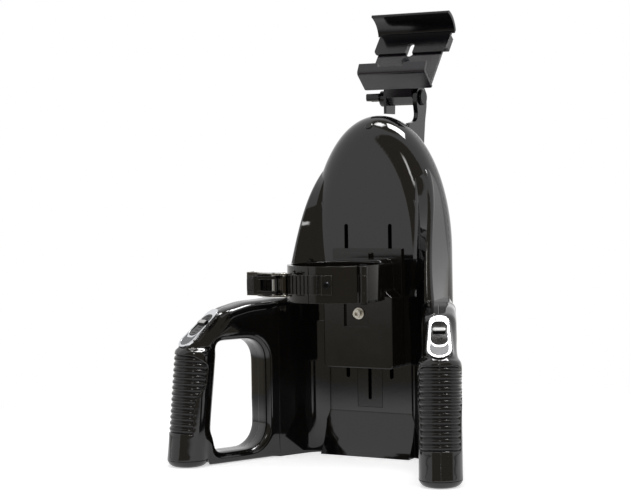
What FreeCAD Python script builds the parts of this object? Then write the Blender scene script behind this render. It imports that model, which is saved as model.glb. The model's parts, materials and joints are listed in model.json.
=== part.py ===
"""Two-handled carrier shell with a ratchet collar, thumb rockers and a tilting phone holder.

Frame: +X to the user's right, -Y towards the user, +Z up. The origin is on the flat bottom,
in the middle of the width, 4 mm behind the flat front panel.
"""
import FreeCAD
import Part
import Sketcher
import math
import os

V = FreeCAD.Vector
Z_AXIS = V(0, 0, 1)
Y_AXIS = V(0, 1, 0)
X_AXIS = V(1, 0, 0)

# Driving dimensions, in mm and degrees
DRIVING = [
    ("shell_height", 356.0),
    ("shell_half_width", 79.0),
    ("shoulder_height", 214.5),
    ("panel_y", -4.0),
    ("parting_y", 27.0),
    ("back_y", 58.5),
    ("front_round", 28.0),
    ("back_round", 31.0),
    ("wall", 3.0),
    ("seam_gap", 0.2),
    ("skirt_height", 50.0),
    ("skirt_reach", 16.0),
    ("seam_x", 94.9),
    ("seam_y", -36.9),
    ("handle_angle", 24.6),
    ("handle_thick", 34.0),
    ("handle_root", 8.0),
    ("arm_height", 166.0),
    ("hand_gap_in", 23.0),
    ("hand_gap_out", 84.0),
    ("hand_gap_low", 12.0),
    ("hand_gap_high", 126.0),
    ("grip_foot_out", 111.6),
    ("grip_lean", 5.8),
    ("cap_height", 7.0),
    ("grip_round", 21.0),
    ("rubber_wall", 3.0),
    ("rib_pitch", 6.0),
    ("rib_count", 13),
    ("rib_rise", 1.3),
    ("slot_x", 25.5),
    ("slot_width", 4.2),
    ("slot_low", 80.7),
    ("slot_high", 242.5),
    ("inset_width", 29.0),
    ("inset_low", 50.5),
    ("inset_high", 196.0),
    ("inset_thick", 1.5),
    ("guide_slot", 3.8),
    ("plug_height", 345.0),
    ("plug_round", 4.0),
    ("bracket_half", 40.0),
    ("bracket_low", 94.0),
    ("bracket_high", 217.0),
    ("bracket_gap", 0.4),
    ("bracket_plate", 3.0),
    ("block_front", -30.0),
    ("block_top", 162.0),
    ("screw_height", 150.7),
    ("collar_y", -77.0),
    ("collar_inner", 45.0),
    ("collar_outer", 49.0),
    ("collar_low", 168.0),
    ("collar_high", 204.5),
    ("hinge_turn", 60.0),
    ("knuckle_round", 5.0),
    ("hinge_pin_round", 2.0),
    ("strap_low", 177.0),
    ("strap_height", 19.0),
    ("strap_thick", 2.4),
    ("tooth_pitch", 4.3),
    ("edge_round", 8.0),
    ("rim_round", 5.0),
    ("tilt_y", 90.0),
    ("tilt_z", 376.8),
    ("tilt_lean", 40.0),
    ("tilt_bolt_round", 3.0),
    ("phone_plate_out", 21.0),
    ("phone_plate_thick", 2.4),
    ("phone_half", 39.0),
    ("jaw_half", 46.5),
    ("tray_reach", 25.0),
    ("arm_plate", 5.0),
    ("arm_x", 20.0),
]
VALUES = dict(DRIVING)

doc = FreeCAD.newDocument("Carrier")
sheet = doc.addObject("Spreadsheet::Sheet", "Sizes")
for row, (alias, value) in enumerate(DRIVING, start=1):
    sheet.set(f"A{row}", alias)
    sheet.set(f"B{row}", str(value))
    sheet.setAlias(f"B{row}", alias)
doc.recompute()


class Size:
    """A value together with the sheet expression that gives it."""

    def __init__(self, value, text):
        self.value = value
        self.text = text

    def __add__(self, other):
        other = sized(other)
        return Size(self.value + other.value, f"({self.text} + {other.text})")

    def __radd__(self, other):
        return sized(other) + self

    def __sub__(self, other):
        other = sized(other)
        return Size(self.value - other.value, f"({self.text} - {other.text})")

    def __rsub__(self, other):
        return sized(other) - self

    def __mul__(self, other):
        other = sized(other)
        return Size(self.value * other.value, f"({self.text} * {other.text})")

    def __rmul__(self, other):
        return sized(other) * self

    def __truediv__(self, other):
        other = sized(other)
        return Size(self.value / other.value, f"({self.text} / {other.text})")

    def __neg__(self):
        return Size(-self.value, f"(0 - {self.text})")


def sized(number):
    """Return a Size for a plain number, or the Size itself."""
    if isinstance(number, Size):
        return number
    return Size(float(number), repr(float(number)))


class Sheet:
    """Gives each named dimension as a Size."""

    def __getattr__(self, alias):
        return Size(VALUES[alias], f"Sizes.{alias}")


S = Sheet()


def bind(owner, path, amount):
    """Tie one property to its sheet expression."""
    amount = sized(amount)
    owner.setExpression(path, amount.text)


def new_body(label, placement=None):
    """Start a sub-part with its own label and placement."""
    body = doc.addObject("PartDesign::Body", label)
    body.Label = label
    if placement is not None:
        body.Placement = placement
    return body


def plane_sketch(body, name, role, offset=None):
    """Put a sketch on one of the body's own origin planes."""
    plane = next(item for item in body.Origin.OriginFeatures if item.Role == role)
    sketch = body.newObject("Sketcher::SketchObject", name)
    sketch.AttachmentSupport = [(plane, "")]
    sketch.MapMode = "FlatFace"
    if offset is not None:
        sketch.AttachmentOffset = offset
    return sketch


def shifted(x=0.0, y=0.0, z=0.0):
    """Offset of a sketch along its plane's own axes."""
    return FreeCAD.Placement(V(x, y, z), FreeCAD.Rotation())


def arc_middle(start, end, bulge):
    """Middle point of an arc, where bulge is the sagitta over half the chord."""
    chord = end - start
    side = V(chord.y, -chord.x, 0)
    return (start + end) * 0.5 + side * (bulge * 0.5)


def soft(corners):
    """Turn corners with radii into an outline of lines and tangent arcs, ready for draw."""
    points, bulges = [], {}
    count = len(corners)
    for index, (x, y, radius) in enumerate(corners):
        here = V(x, y, 0)
        before = V(*corners[index - 1][:2], 0)
        after = V(*corners[(index + 1) % count][:2], 0)
        arriving = (here - before).normalize()
        leaving = (after - here).normalize()
        bend = math.atan2(arriving.x * leaving.y - arriving.y * leaving.x, arriving.dot(leaving))
        if radius == 0 or abs(bend) < 1e-4:
            points.append((here.x, here.y))
            continue
        trim = radius * math.tan(abs(bend) / 2.0)
        start, end = here - arriving * trim, here + leaving * trim
        bulges[len(points)] = math.tan(bend / 4.0)
        points += [(start.x, start.y), (end.x, end.y)]
    return points, bulges


def end_at(sketch, edge, point):
    """Which end of a sketch edge lies on a point."""
    first = sketch.getPoint(edge, 1).distanceToPoint(point)
    second = sketch.getPoint(edge, 2).distanceToPoint(point)
    return 1 if first < second else 2


def draw(sketch, corners, bulges=None):
    """Draw a closed outline of lines and arcs whose corners are tied to the sheet."""
    bulges = bulges or {}
    points = [V(sized(x).value, sized(y).value, 0) for x, y in corners]
    count = len(points)
    edges = []
    for index in range(count):
        start, end = points[index], points[(index + 1) % count]
        if index in bulges:
            shape = Part.Arc(start, arc_middle(start, end, bulges[index]), end)
        else:
            shape = Part.LineSegment(start, end)
        edges.append(sketch.addGeometry(shape, False))
    for index in range(count):
        point = points[index]
        edge, before = edges[index], edges[index - 1]
        sketch.addConstraint(Sketcher.Constraint("Coincident", before, end_at(sketch, before, point),
                                                 edge, end_at(sketch, edge, point)))
    for index, (x, y) in enumerate(corners):
        edge = edges[index]
        end = end_at(sketch, edge, points[index])
        for kind, amount in (("DistanceX", sized(x)), ("DistanceY", sized(y))):
            tie = sketch.addConstraint(Sketcher.Constraint(kind, -1, 1, edge, end, amount.value))
            if "Sizes" in amount.text:
                sketch.setExpression(f"Constraints[{tie}]", amount.text)
    return edges


def draw_circle(sketch, x, y, radius):
    """Draw a circle whose centre and radius are tied to the sheet."""
    x, y, radius = sized(x), sized(y), sized(radius)
    edge = sketch.addGeometry(Part.Circle(V(x.value, y.value, 0), Z_AXIS, radius.value), False)
    for constraint, amount in (
            (Sketcher.Constraint("Radius", edge, radius.value), radius),
            (Sketcher.Constraint("DistanceX", -1, 1, edge, 3, x.value), x),
            (Sketcher.Constraint("DistanceY", -1, 1, edge, 3, y.value), y)):
        tie = sketch.addConstraint(constraint)
        if "Sizes" in amount.text:
            sketch.setExpression(f"Constraints[{tie}]", amount.text)
    return edge


def rectangle(sketch, x_low, x_high, y_low, y_high):
    """Draw a rectangle."""
    draw(sketch, [(x_low, y_low), (x_high, y_low), (x_high, y_high), (x_low, y_high)])


def round_slot(sketch, x, width, y_low, y_high):
    """Draw an upright slot with round ends."""
    half = sized(width) * 0.5
    draw(sketch, [(x - half, y_low + half), (x + half, y_low + half),
                  (x + half, y_high - half), (x - half, y_high - half)], {0: 1.0, 2: 1.0})


def pad(body, sketch, length, reverse=False, both=False, taper=0.0):
    """Pad a sketch by a length tied to the sheet."""
    feature = body.newObject("PartDesign::Pad", "Pad")
    feature.Profile = sketch
    feature.Length = sized(length).value
    bind(feature, "Length", length)
    feature.Reversed = reverse
    feature.Midplane = both
    feature.TaperAngle = taper
    sketch.Visibility = False
    doc.recompute()
    return feature


def pocket(body, sketch, length=None, reverse=False, both=False):
    """Cut a sketch to a depth, or right through."""
    before = body.Shape.Volume
    feature = body.newObject("PartDesign::Pocket", "Pocket")
    feature.Profile = sketch
    if length is None:
        feature.Type = 1
    else:
        feature.Length = sized(length).value
        bind(feature, "Length", length)
    feature.Reversed = reverse
    feature.Midplane = both
    doc.recompute()
    if body.Shape.Volume > before - 1e-3:
        raise RuntimeError(f"{body.Label}: {sketch.Name} cuts nothing")
    return feature


def rounded(body, radius, chosen):
    """Round the edges for which chosen(edge) holds."""
    base = body.Tip
    names = [f"Edge{index}" for index, edge in enumerate(base.Shape.Edges, start=1) if chosen(edge)]
    if not names:
        raise RuntimeError(f"{body.Label}: no edge to round")
    feature = body.newObject("PartDesign::Fillet", "Fillet")
    feature.Base = (base, names)
    feature.Radius = sized(radius).value
    bind(feature, "Radius", radius)
    doc.recompute()
    return feature


def loft(body, sections, ruled=False):
    """Add a loft through sketches."""
    feature = body.newObject("PartDesign::AdditiveLoft", "Loft")
    feature.Profile = sections[0]
    feature.Sections = sections[1:]
    feature.Ruled = ruled
    doc.recompute()
    return feature


def on_plane(axis, level, slack=0.01):
    """Test for edges that lie wholly in a plane across one axis."""
    def test(edge):
        box = edge.BoundBox
        low = getattr(box, axis + "Min")
        high = getattr(box, axis + "Max")
        return abs(low - level) < slack and abs(high - level) < slack
    return test


def turned(axis, degrees, x=0.0, y=0.0, z=0.0):
    """Placement turned about an axis through the origin and then moved."""
    return FreeCAD.Placement(V(x, y, z), FreeCAD.Rotation(axis, degrees))


# Shell

def arch(sketch, half_width, height, low=0.0):
    """Draw the arch outline: straight flanks under half an ellipse."""
    a = sized(half_width).value
    rise = (sized(height) - S.shoulder_height).value
    spring = S.shoulder_height.value
    low = sized(low).value
    left, right = V(-a, spring, 0), V(a, spring, 0)
    if rise >= a:
        ellipse = Part.Ellipse(V(0, spring + rise, 0), V(-a, spring, 0), V(0, spring, 0))
        curve = Part.ArcOfEllipse(ellipse, -math.pi / 2, math.pi / 2)
    else:
        ellipse = Part.Ellipse(V(a, spring, 0), V(0, spring + rise, 0), V(0, spring, 0))
        curve = Part.ArcOfEllipse(ellipse, 0, math.pi)
    top = sketch.addGeometry(curve, False)
    lines = [Part.LineSegment(left, V(-a, low, 0)),
             Part.LineSegment(V(-a, low, 0), V(a, low, 0)),
             Part.LineSegment(V(a, low, 0), right)]
    ids = [sketch.addGeometry(line, False) for line in lines]
    sketch.addConstraint(Sketcher.Constraint("Coincident", ids[0], 2, ids[1], 1))
    sketch.addConstraint(Sketcher.Constraint("Coincident", ids[1], 2, ids[2], 1))
    sketch.addConstraint(Sketcher.Constraint("Coincident", top, end_at(sketch, top, left), ids[0], 1))
    sketch.addConstraint(Sketcher.Constraint("Coincident", top, end_at(sketch, top, right), ids[2], 2))


def arch_half(level):
    """Half width of the arch at a height."""
    rise = (S.shell_height - S.shoulder_height).value
    share = max(0.0, level - S.shoulder_height.value) / rise
    return S.shell_half_width.value * math.sqrt(1.0 - share * share)


def wing_outline(sketch, side, level, outer, inner, root, foot, ridge=False):
    """Draw one level section of a wing between its outer, inner, root and panel corners."""
    flank = arch_half(level) - 0.4
    corners = [(side * (flank - 13.0), S.parting_y), (side * flank, S.parting_y),
               (side * sized(outer[0]), outer[1]), (side * sized(inner[0]), inner[1]),
               (side * sized(root[0]), root[1]), (side * sized(foot[0]), foot[1])]
    bulges = {4: 0.29 * side}
    if ridge:
        bulges[2] = -0.4 * side
    draw(sketch, corners, bulges)


def seam_point(out, width):
    """Point of the wing's front at a distance past the seam and a width across it."""
    heading = math.radians(S.handle_angle.value)
    x = S.seam_x.value + out * math.sin(heading) + width * math.cos(heading)
    y = S.seam_y.value - out * math.cos(heading) + width * math.sin(heading)
    return x, y


def wing(body, side):
    """Concave flank that runs from the shell out to the handle's seam."""
    root, foot = (68.6, -20.4), (43.0, -3.5)
    half = S.handle_thick.value * 0.5
    out = S.handle_root.value - S.seam_gap.value
    top = S.arm_height.value
    soft_edge = S.edge_round.value
    lower = plane_sketch(body, "WingLow", "XY_Plane")
    wing_outline(lower, side, 0.0, seam_point(out, half), seam_point(out, -half), root, foot)
    pad(body, lower, S.arm_height - S.edge_round)
    crest = []
    for index in range(5):
        turn = math.radians(22.0 * index)
        inset = soft_edge * (1.0 - math.cos(turn))
        level = top - soft_edge + soft_edge * math.sin(turn)
        sketch = plane_sketch(body, f"Crest{index}", "XY_Plane", shifted(z=level))
        wing_outline(sketch, side, level, seam_point(out, half - inset), seam_point(out, inset - half),
                     (root[0] + inset * 0.9, root[1] + inset * 0.4), (foot[0] + inset * 1.2, foot[1]))
        crest.append(sketch)
    loft(body, crest)
    fin = []
    levels = [(top - 26.0, (90.0, -30.0), (80.0, -38.0), (67.0, -20.0), foot),
              (top + 19.0, (83.5, -25.5), (77.0, -32.0), (66.0, -17.0), foot),
              (top + 59.0, (79.0, -14.5), (74.5, -21.0), (64.0, -11.5), (46.0, -3.5)),
              (top + 92.0, (75.0, -1.0), (71.0, -8.6), (60.5, -6.4), (47.0, -3.5)),
              (top + 134.0, (61.0, 18.0), (57.0, 10.5), (50.0, 4.0), (42.0, 0.0))]
    for index, (level, outer, inner, inner_root, inner_foot) in enumerate(levels):
        sketch = plane_sketch(body, f"Fin{index}", "XY_Plane", shifted(z=level))
        wing_outline(sketch, side, level, outer, inner, inner_root, inner_foot, ridge=True)
        fin.append(sketch)
    loft(body, fin)


ARM_SCREWS = [(9.0, 304.0), (26.0, 270.0)]
BOSSES = [(-52.0, 30.0), (52.0, 30.0), (-52.0, 262.0), (52.0, 262.0)]


def stepped_hollow(body, start, steps, forward):
    """Cut the hollow in steps that follow the rounding, each an inset and a depth."""
    for inset, depth in steps:
        hollow = plane_sketch(body, "Hollow", "XZ_Plane", shifted(z=-start.value))
        arch(hollow, S.shell_half_width - inset, S.shell_height - inset, S.wall)
        pocket(body, hollow, depth, reverse=forward)


def plug_frame():
    """Frame on the front rounding near the apex, with Z out of the surface."""
    radius = S.front_round.value
    drop = radius - (S.shell_height - S.plug_height).value
    depth = math.sqrt(radius * radius - drop * drop)
    turn = 90.0 - math.degrees(math.asin(drop / radius))
    return turned(X_AXIS, turn, 0, S.panel_y.value + radius - depth, S.plug_height.value)


def front_shell():
    """Arched front moulding with its concave flanks, flared foot and slots."""
    body = new_body("front_shell")
    outline = plane_sketch(body, "Arch", "XZ_Plane", shifted(z=-S.parting_y.value))
    arch(outline, S.shell_half_width, S.shell_height)
    pad(body, outline, S.parting_y - S.panel_y)
    front_edge = on_plane("Y", S.panel_y.value)
    rounded(body, S.front_round, lambda edge: front_edge(edge) and edge.BoundBox.ZMax > 1.0)
    for side in (-1, 1):
        wing(body, side)
    foot = plane_sketch(body, "Foot", "YZ_Plane")
    draw(foot, [(S.panel_y + 4.0, 0), (S.panel_y + 4.0, S.skirt_height), (S.panel_y, S.skirt_height),
                (S.panel_y - S.skirt_reach, 0)], {2: -0.17})
    pad(body, foot, S.shell_half_width * 1.3, both=True)
    stepped_hollow(body, S.parting_y, [(3.0, 12.0), (10.0, 21.0), (20.0, 27.5)], True)
    bosses = plane_sketch(body, "Bosses", "XZ_Plane", shifted(z=-S.parting_y.value))
    for x, z in BOSSES:
        draw_circle(bosses, x, z, 4.5)
    pad(body, bosses, S.parting_y - S.panel_y - 1.0)
    bores = plane_sketch(body, "Bores", "XZ_Plane", shifted(z=-S.parting_y.value))
    for x, z in BOSSES:
        draw_circle(bores, x, z, 1.7)
    pocket(body, bores, 18.0, reverse=True)
    slots = plane_sketch(body, "Slots", "XZ_Plane")
    for side in (-1, 1):
        round_slot(slots, S.slot_x * side, S.slot_width, S.slot_low, S.slot_high)
    pocket(body, slots, 40.0, both=True)
    recess = plane_sketch(body, "Recess", "XZ_Plane", shifted(z=-S.panel_y.value - S.inset_thick.value - 0.1))
    half = S.inset_width * 0.5
    rectangle(recess, -half, half, S.inset_low, S.inset_high)
    pocket(body, recess, 10.0, reverse=True)
    window = plane_sketch(body, "Window", "XZ_Plane")
    round_slot(window, sized(0.0), 9.0, S.inset_low + 8.0, S.inset_high - 8.0)
    pocket(body, window, 40.0, both=True)
    plug = plane_sketch(body, "PlugBore", "XY_Plane", plug_frame() * shifted(z=4.0))
    draw_circle(plug, 0, 0, S.plug_round + 0.2)
    pocket(body, plug, 11.0)
    return body


def back_shell():
    """Deep rear moulding."""
    body = new_body("back_shell")
    outline = plane_sketch(body, "Arch", "XZ_Plane", shifted(z=-S.back_y.value))
    arch(outline, S.shell_half_width, S.shell_height)
    pad(body, outline, S.back_y - S.parting_y - S.seam_gap)
    back_edge = on_plane("Y", S.back_y.value)
    depth = S.back_y - S.parting_y - S.seam_gap
    rounded(body, S.back_round, lambda edge: back_edge(edge) and edge.BoundBox.ZMax > 1.0)
    stepped_hollow(body, S.parting_y + S.seam_gap,
                   [(3.0, 10.0), (10.0, 19.5), (20.0, 26.0), (30.0, 28.0)], False)
    bosses = plane_sketch(body, "Bosses", "XZ_Plane", shifted(z=-(S.parting_y + S.seam_gap).value))
    for x, z in BOSSES:
        draw_circle(bosses, x, z, 5.0)
    pad(body, bosses, depth - 1.0, reverse=True)
    heads = plane_sketch(body, "HeadBores", "XZ_Plane", shifted(z=-(S.parting_y + 12.0).value))
    for x, z in BOSSES:
        draw_circle(heads, x, z, 3.2)
    pocket(body, heads, 40.0)
    bores = plane_sketch(body, "Bores", "XZ_Plane", shifted(z=-S.parting_y.value))
    for x, z in BOSSES:
        draw_circle(bores, x, z, 1.8)
    pocket(body, bores, 20.0)
    arm_bores = plane_sketch(body, "ArmBores", "XZ_Plane", shifted(z=-S.back_y.value + 10.0))
    for x, z in ARM_SCREWS:
        draw_circle(arm_bores, x, z, 1.7)
    pocket(body, arm_bores, 30.0)
    return body


def screw_group(label, placement, places, head, shank, socket=1.25):
    """Make a set of equal socket screws whose axes run along the frame's -Y."""
    head_round, head_height = head
    shank_round, shank_length = shank
    body = new_body(label, placement)
    body.AllowCompound = True
    shanks = plane_sketch(body, "Shanks", "XZ_Plane")
    for x, z in places:
        draw_circle(shanks, x, z, shank_round)
    pad(body, shanks, shank_length)
    heads = plane_sketch(body, "Heads", "XZ_Plane")
    for x, z in places:
        draw_circle(heads, x, z, head_round)
    pad(body, heads, head_height, reverse=True)
    sockets = plane_sketch(body, "Sockets", "XZ_Plane", shifted(z=-head_height))
    for x, z in places:
        hexagon(sockets, x, z, socket)
    pocket(body, sockets, head_height * 0.6, reverse=True)
    return body


def hexagon(sketch, x, y, flat):
    """Draw a hexagon by its half width across the flats."""
    radius = flat / math.cos(math.pi / 6.0)
    corners = []
    for index in range(6):
        angle = math.radians(60.0 * index)
        corners.append((x + radius * math.cos(angle), y + radius * math.sin(angle)))
    draw(sketch, corners)


def turned_piece(label, placement, profile, bulges=None):
    """Make a piece turned about its own Z axis from radius and height corners."""
    body = new_body(label, placement)
    sketch = plane_sketch(body, "Profile", "XZ_Plane")
    draw(sketch, profile, bulges)
    feature = body.newObject("PartDesign::Revolution", "Revolution")
    feature.Profile = sketch
    feature.ReferenceAxis = (sketch, ["V_Axis"])
    feature.Angle = 360.0
    doc.recompute()
    return body


def placed(frame, x=0.0, y=0.0, z=0.0, rotation=None):
    """Placement given inside another frame."""
    return frame * FreeCAD.Placement(V(x, y, z), rotation or FreeCAD.Rotation())


def slot_plate():
    """Inset slide plate with the long middle slot."""
    body = new_body("slot_plate")
    half = S.inset_width * 0.5 - 0.2
    plate = plane_sketch(body, "Plate", "XZ_Plane", shifted(z=-S.panel_y.value - S.inset_thick.value))
    rectangle(plate, -half, half, S.inset_low + 0.2, S.inset_high - 0.2)
    pad(body, plate, S.inset_thick)
    slot = plane_sketch(body, "Slot", "XZ_Plane")
    round_slot(slot, sized(0.0), S.guide_slot, S.inset_low + 8.0, S.inset_high - 8.0)
    pocket(body, slot, 20.0, both=True)
    return body


# Handles

def handle_frame(side):
    """Frame of a handle: X out along the handle, Y across it, Z up."""
    turn = FreeCAD.Rotation(Z_AXIS, S.handle_angle.value * side - 90.0)
    return FreeCAD.Placement(V(side * S.seam_x.value, S.seam_y.value, 0), turn)


POD_CENTRE = (95.0, 139.0)
POD_LEAN = 39.6
GRIP_FOOT = (111.6, 7.0)
PAD_SPAN = (26.6, 105.4)
PAD_EDGE = [(12.5, PAD_SPAN[1], 0), (-3.2, 97.0, 7.0), (-2.2, 78.0, 10.0), (8.8, 61.0, 22.0),
            (8.3, PAD_SPAN[0], 0)]


def grip_view(body, name):
    """Side-view sketch whose upright axis is the leaning axis of the grip."""
    offset = FreeCAD.Placement(V(GRIP_FOOT[0], GRIP_FOOT[1], 0),
                               FreeCAD.Rotation(Z_AXIS, S.grip_lean.value))
    return plane_sketch(body, name, "XZ_Plane", offset)


def pad_outline(shift, reach, beyond=0.0):
    """Outline beside the rubber's edge, on the side that reach lies, along the grip's axis."""
    edge = [(x + shift, z, radius) for x, z, radius in PAD_EDGE]
    if beyond:
        edge = [(edge[0][0], PAD_SPAN[1] + beyond, 0)] + edge + [(edge[-1][0], PAD_SPAN[0] - beyond, 0)]
    return soft(edge + [(reach, PAD_SPAN[0] - beyond, 0), (reach, PAD_SPAN[1] + beyond, 0)])


def half_column(body, away, radius):
    """Pad one half of the leaning round grip on one side of the mid-plane."""
    offset = FreeCAD.Placement(V(GRIP_FOOT[0], 0, GRIP_FOOT[1]),
                               FreeCAD.Rotation(Y_AXIS, -S.grip_lean.value))
    sketch = plane_sketch(body, "Column", "XY_Plane", offset * shifted(z=-4.0))
    radius = sized(radius).value
    split = away * 0.1
    draw(sketch, [(-radius, split), (radius, split)], {1: away})
    pad(body, sketch, 116.0)


def pod_plane(body, name, rise=0.0):
    """Sketch on the slanted thumb face of the pod."""
    lean = math.radians(POD_LEAN)
    x = POD_CENTRE[0] + rise * math.sin(lean)
    z = POD_CENTRE[1] + rise * math.cos(lean)
    offset = FreeCAD.Placement(V(x, 0, z), FreeCAD.Rotation(Y_AXIS, POD_LEAN))
    return plane_sketch(body, name, "XY_Plane", offset)


def egg(sketch, upper, lower, narrow, wide, shift=0.0):
    """Draw an egg on the pod face, narrow end up the slope, from the ends and two half widths."""
    corners = [(shift - upper, -narrow, narrow * 0.94), (shift + lower, -wide, wide * 0.92),
               (shift + lower, wide, wide * 0.92), (shift - upper, narrow, narrow * 0.94)]
    draw(sketch, *soft(corners))


def handle_side_view():
    """Side view of the arm, the hand opening's rim and the lower limb."""
    low, high = S.hand_gap_low.value, S.hand_gap_high.value
    near, far = S.hand_gap_in.value, S.hand_gap_out.value + 2.0
    return soft([(S.handle_root.value, 0, 0), (108.0, 0, 0), (108.0, 54.0, 0), (far + 3.0, 30.0, 6.0),
                 (far, low, 9.0), (near, low, 24.0), (near, high, 24.0), (far, high, 8.0),
                 (far - 2.5, 112.0, 7.0), (100.0, 92.0, 0), (112.0, 92.0, 0), (112.0, 117.0, 0),
                 (80.0, 146.0, 20.0), (70.0, 158.5, 12.0), (43.0, 164.5, 60.0),
                 (S.handle_root.value, S.arm_height.value, 0)])


HANDLE_SCREWS = [(28.0, 8.0), (14.0, 60.0), (16.0, 150.0), (62.0, 142.0)]


def handle_half(side, name, away):
    """Half of a D-handle with its arm, thumb pod and grip column."""
    body = new_body(name, handle_frame(side))
    plate = plane_sketch(body, "Plate", "XZ_Plane", shifted(z=-0.1 * away))
    draw(plate, *handle_side_view())
    pad(body, plate, S.handle_thick * 0.5 - 0.1, reverse=away > 0)
    on_side = on_plane("Y", away * S.handle_thick.value * 0.5)

    def is_crest(edge):
        middle = edge.CenterOfMass
        return on_side(edge) and (middle.z > 140.0 or middle.z + 0.83 * middle.x > 205.0)

    def is_rim(edge):
        box, middle = edge.BoundBox, edge.CenterOfMass
        straight_end = box.XMin > 107.0 or (box.ZLength < 0.01 and abs(middle.z - 92.0) < 0.1)
        inside = on_side(edge) and not is_crest(edge) and not straight_end
        return inside and middle.x > S.handle_root.value + 0.1 and middle.z > 1.0

    rounded(body, S.edge_round, is_crest)
    rounded(body, S.rim_round, is_rim)
    half_column(body, away, S.grip_round)
    boss = pod_plane(body, "PodBoss", -16.0)
    egg(boss, 32.0, 32.0, 12.6, 16.4)
    pad(body, boss, 16.0, taper=-10.0)
    other_half = plane_sketch(body, "OtherHalf", "XZ_Plane", shifted(z=-0.1 * away))
    rectangle(other_half, 20.0, 150.0, 60.0, 200.0)
    pocket(body, other_half, 40.0, reverse=away > 0)
    trim = pod_plane(body, "PodTrim", 0.0)
    rectangle(trim, -29.0, 60.0, -40.0, 40.0)
    pocket(body, trim, 60.0, reverse=True)
    edge_line = grip_view(body, "PadEdge")
    draw(edge_line, *pad_outline(0.0, 40.0))
    pocket(body, edge_line, 80.0, both=True)
    half_column(body, away, S.grip_round - S.rubber_wall - 0.3)
    under = plane_sketch(body, "CapSeat", "XY_Plane")
    draw_circle(under, S.grip_foot_out, 0, S.grip_round + 0.7)
    pocket(body, under, S.cap_height, reverse=True)
    seat = pod_plane(body, "Seat", 20.0)
    egg(seat, 28.2, 28.2, 8.9, 12.2)
    pocket(body, seat, 22.0)
    well = pod_plane(body, "Well", 20.0)
    egg(well, 15.8, 15.8, 7.6, 8.8, -4.0)
    pocket(body, well, 34.0)
    pin = plane_sketch(body, "PinSeat", "XZ_Plane")
    draw_circle(pin, 89.88, 139.08, 1.35)
    pocket(body, pin, 19.8, both=True)
    holes = plane_sketch(body, "ScrewHoles", "XZ_Plane")
    for x, z in HANDLE_SCREWS:
        draw_circle(holes, x, z, 1.6)
    outer = away * side > 0
    pocket(body, holes, 60.0 if outer else 20.0, both=True)
    if outer:
        heads = plane_sketch(body, "HeadBores", "XZ_Plane", shifted(z=-away * 11.0))
        for x, z in HANDLE_SCREWS:
            draw_circle(heads, x, z, 3.1)
        pocket(body, heads, 20.0, reverse=away < 0)
    return body


def rubber_pad(side, name):
    """Ribbed rubber pad over the front of the grip."""
    body = new_body(name, handle_frame(side))
    pitch = S.rib_pitch.value
    outer = S.grip_round.value
    rise = S.rib_rise.value
    start = PAD_SPAN[0] + 0.3
    inner = outer - S.rubber_wall.value
    profile = [(inner, start)]
    bulges = {}
    for index in range(int(S.rib_count.value)):
        base = start + pitch * index
        bulges[len(profile)] = 2.0 * rise / (pitch - 0.8)
        profile += [(outer - rise, base + 0.4), (outer - rise, base + pitch - 0.4)]
    top = start + pitch * S.rib_count.value
    profile = [(inner, start), (outer - rise, start)] + profile[1:] + [(outer - rise, top), (inner, top)]
    bulges = {index + 1: bulge for index, bulge in bulges.items()}
    ribs = grip_view(body, "Ribs")
    draw(ribs, profile, bulges)
    feature = body.newObject("PartDesign::Revolution", "Revolution")
    feature.Profile = ribs
    feature.ReferenceAxis = (ribs, ["V_Axis"])
    feature.Angle = 360.0
    doc.recompute()
    edge_line = grip_view(body, "PadEdge")
    draw(edge_line, *pad_outline(0.3, -60.0, 6.0))
    pocket(body, edge_line, 80.0, both=True)
    return body


def pod_frame(side, rise=0.0):
    """Frame on the thumb face: X down the slope, Z out of the face."""
    lean = math.radians(POD_LEAN)
    rotation = FreeCAD.Rotation(Y_AXIS, POD_LEAN)
    return placed(handle_frame(side), POD_CENTRE[0] + rise * math.sin(lean), 0,
                  POD_CENTRE[1] + rise * math.cos(lean), rotation)


def label_outline(sketch, play):
    """Draw the crescent below the rocker, a little larger where play is given."""
    reach, wide = 25.2 + play, 9.6 + play
    draw(sketch, *soft([(8.4 - play, -8.6 - play, 0), (reach, -wide, wide * 0.9), (reach, wide, wide * 0.9),
                        (8.4 - play, 8.6 + play, 0), (14.6 - play, 4.4, 3.0), (14.6 - play, -4.4, 3.0)]))


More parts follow.
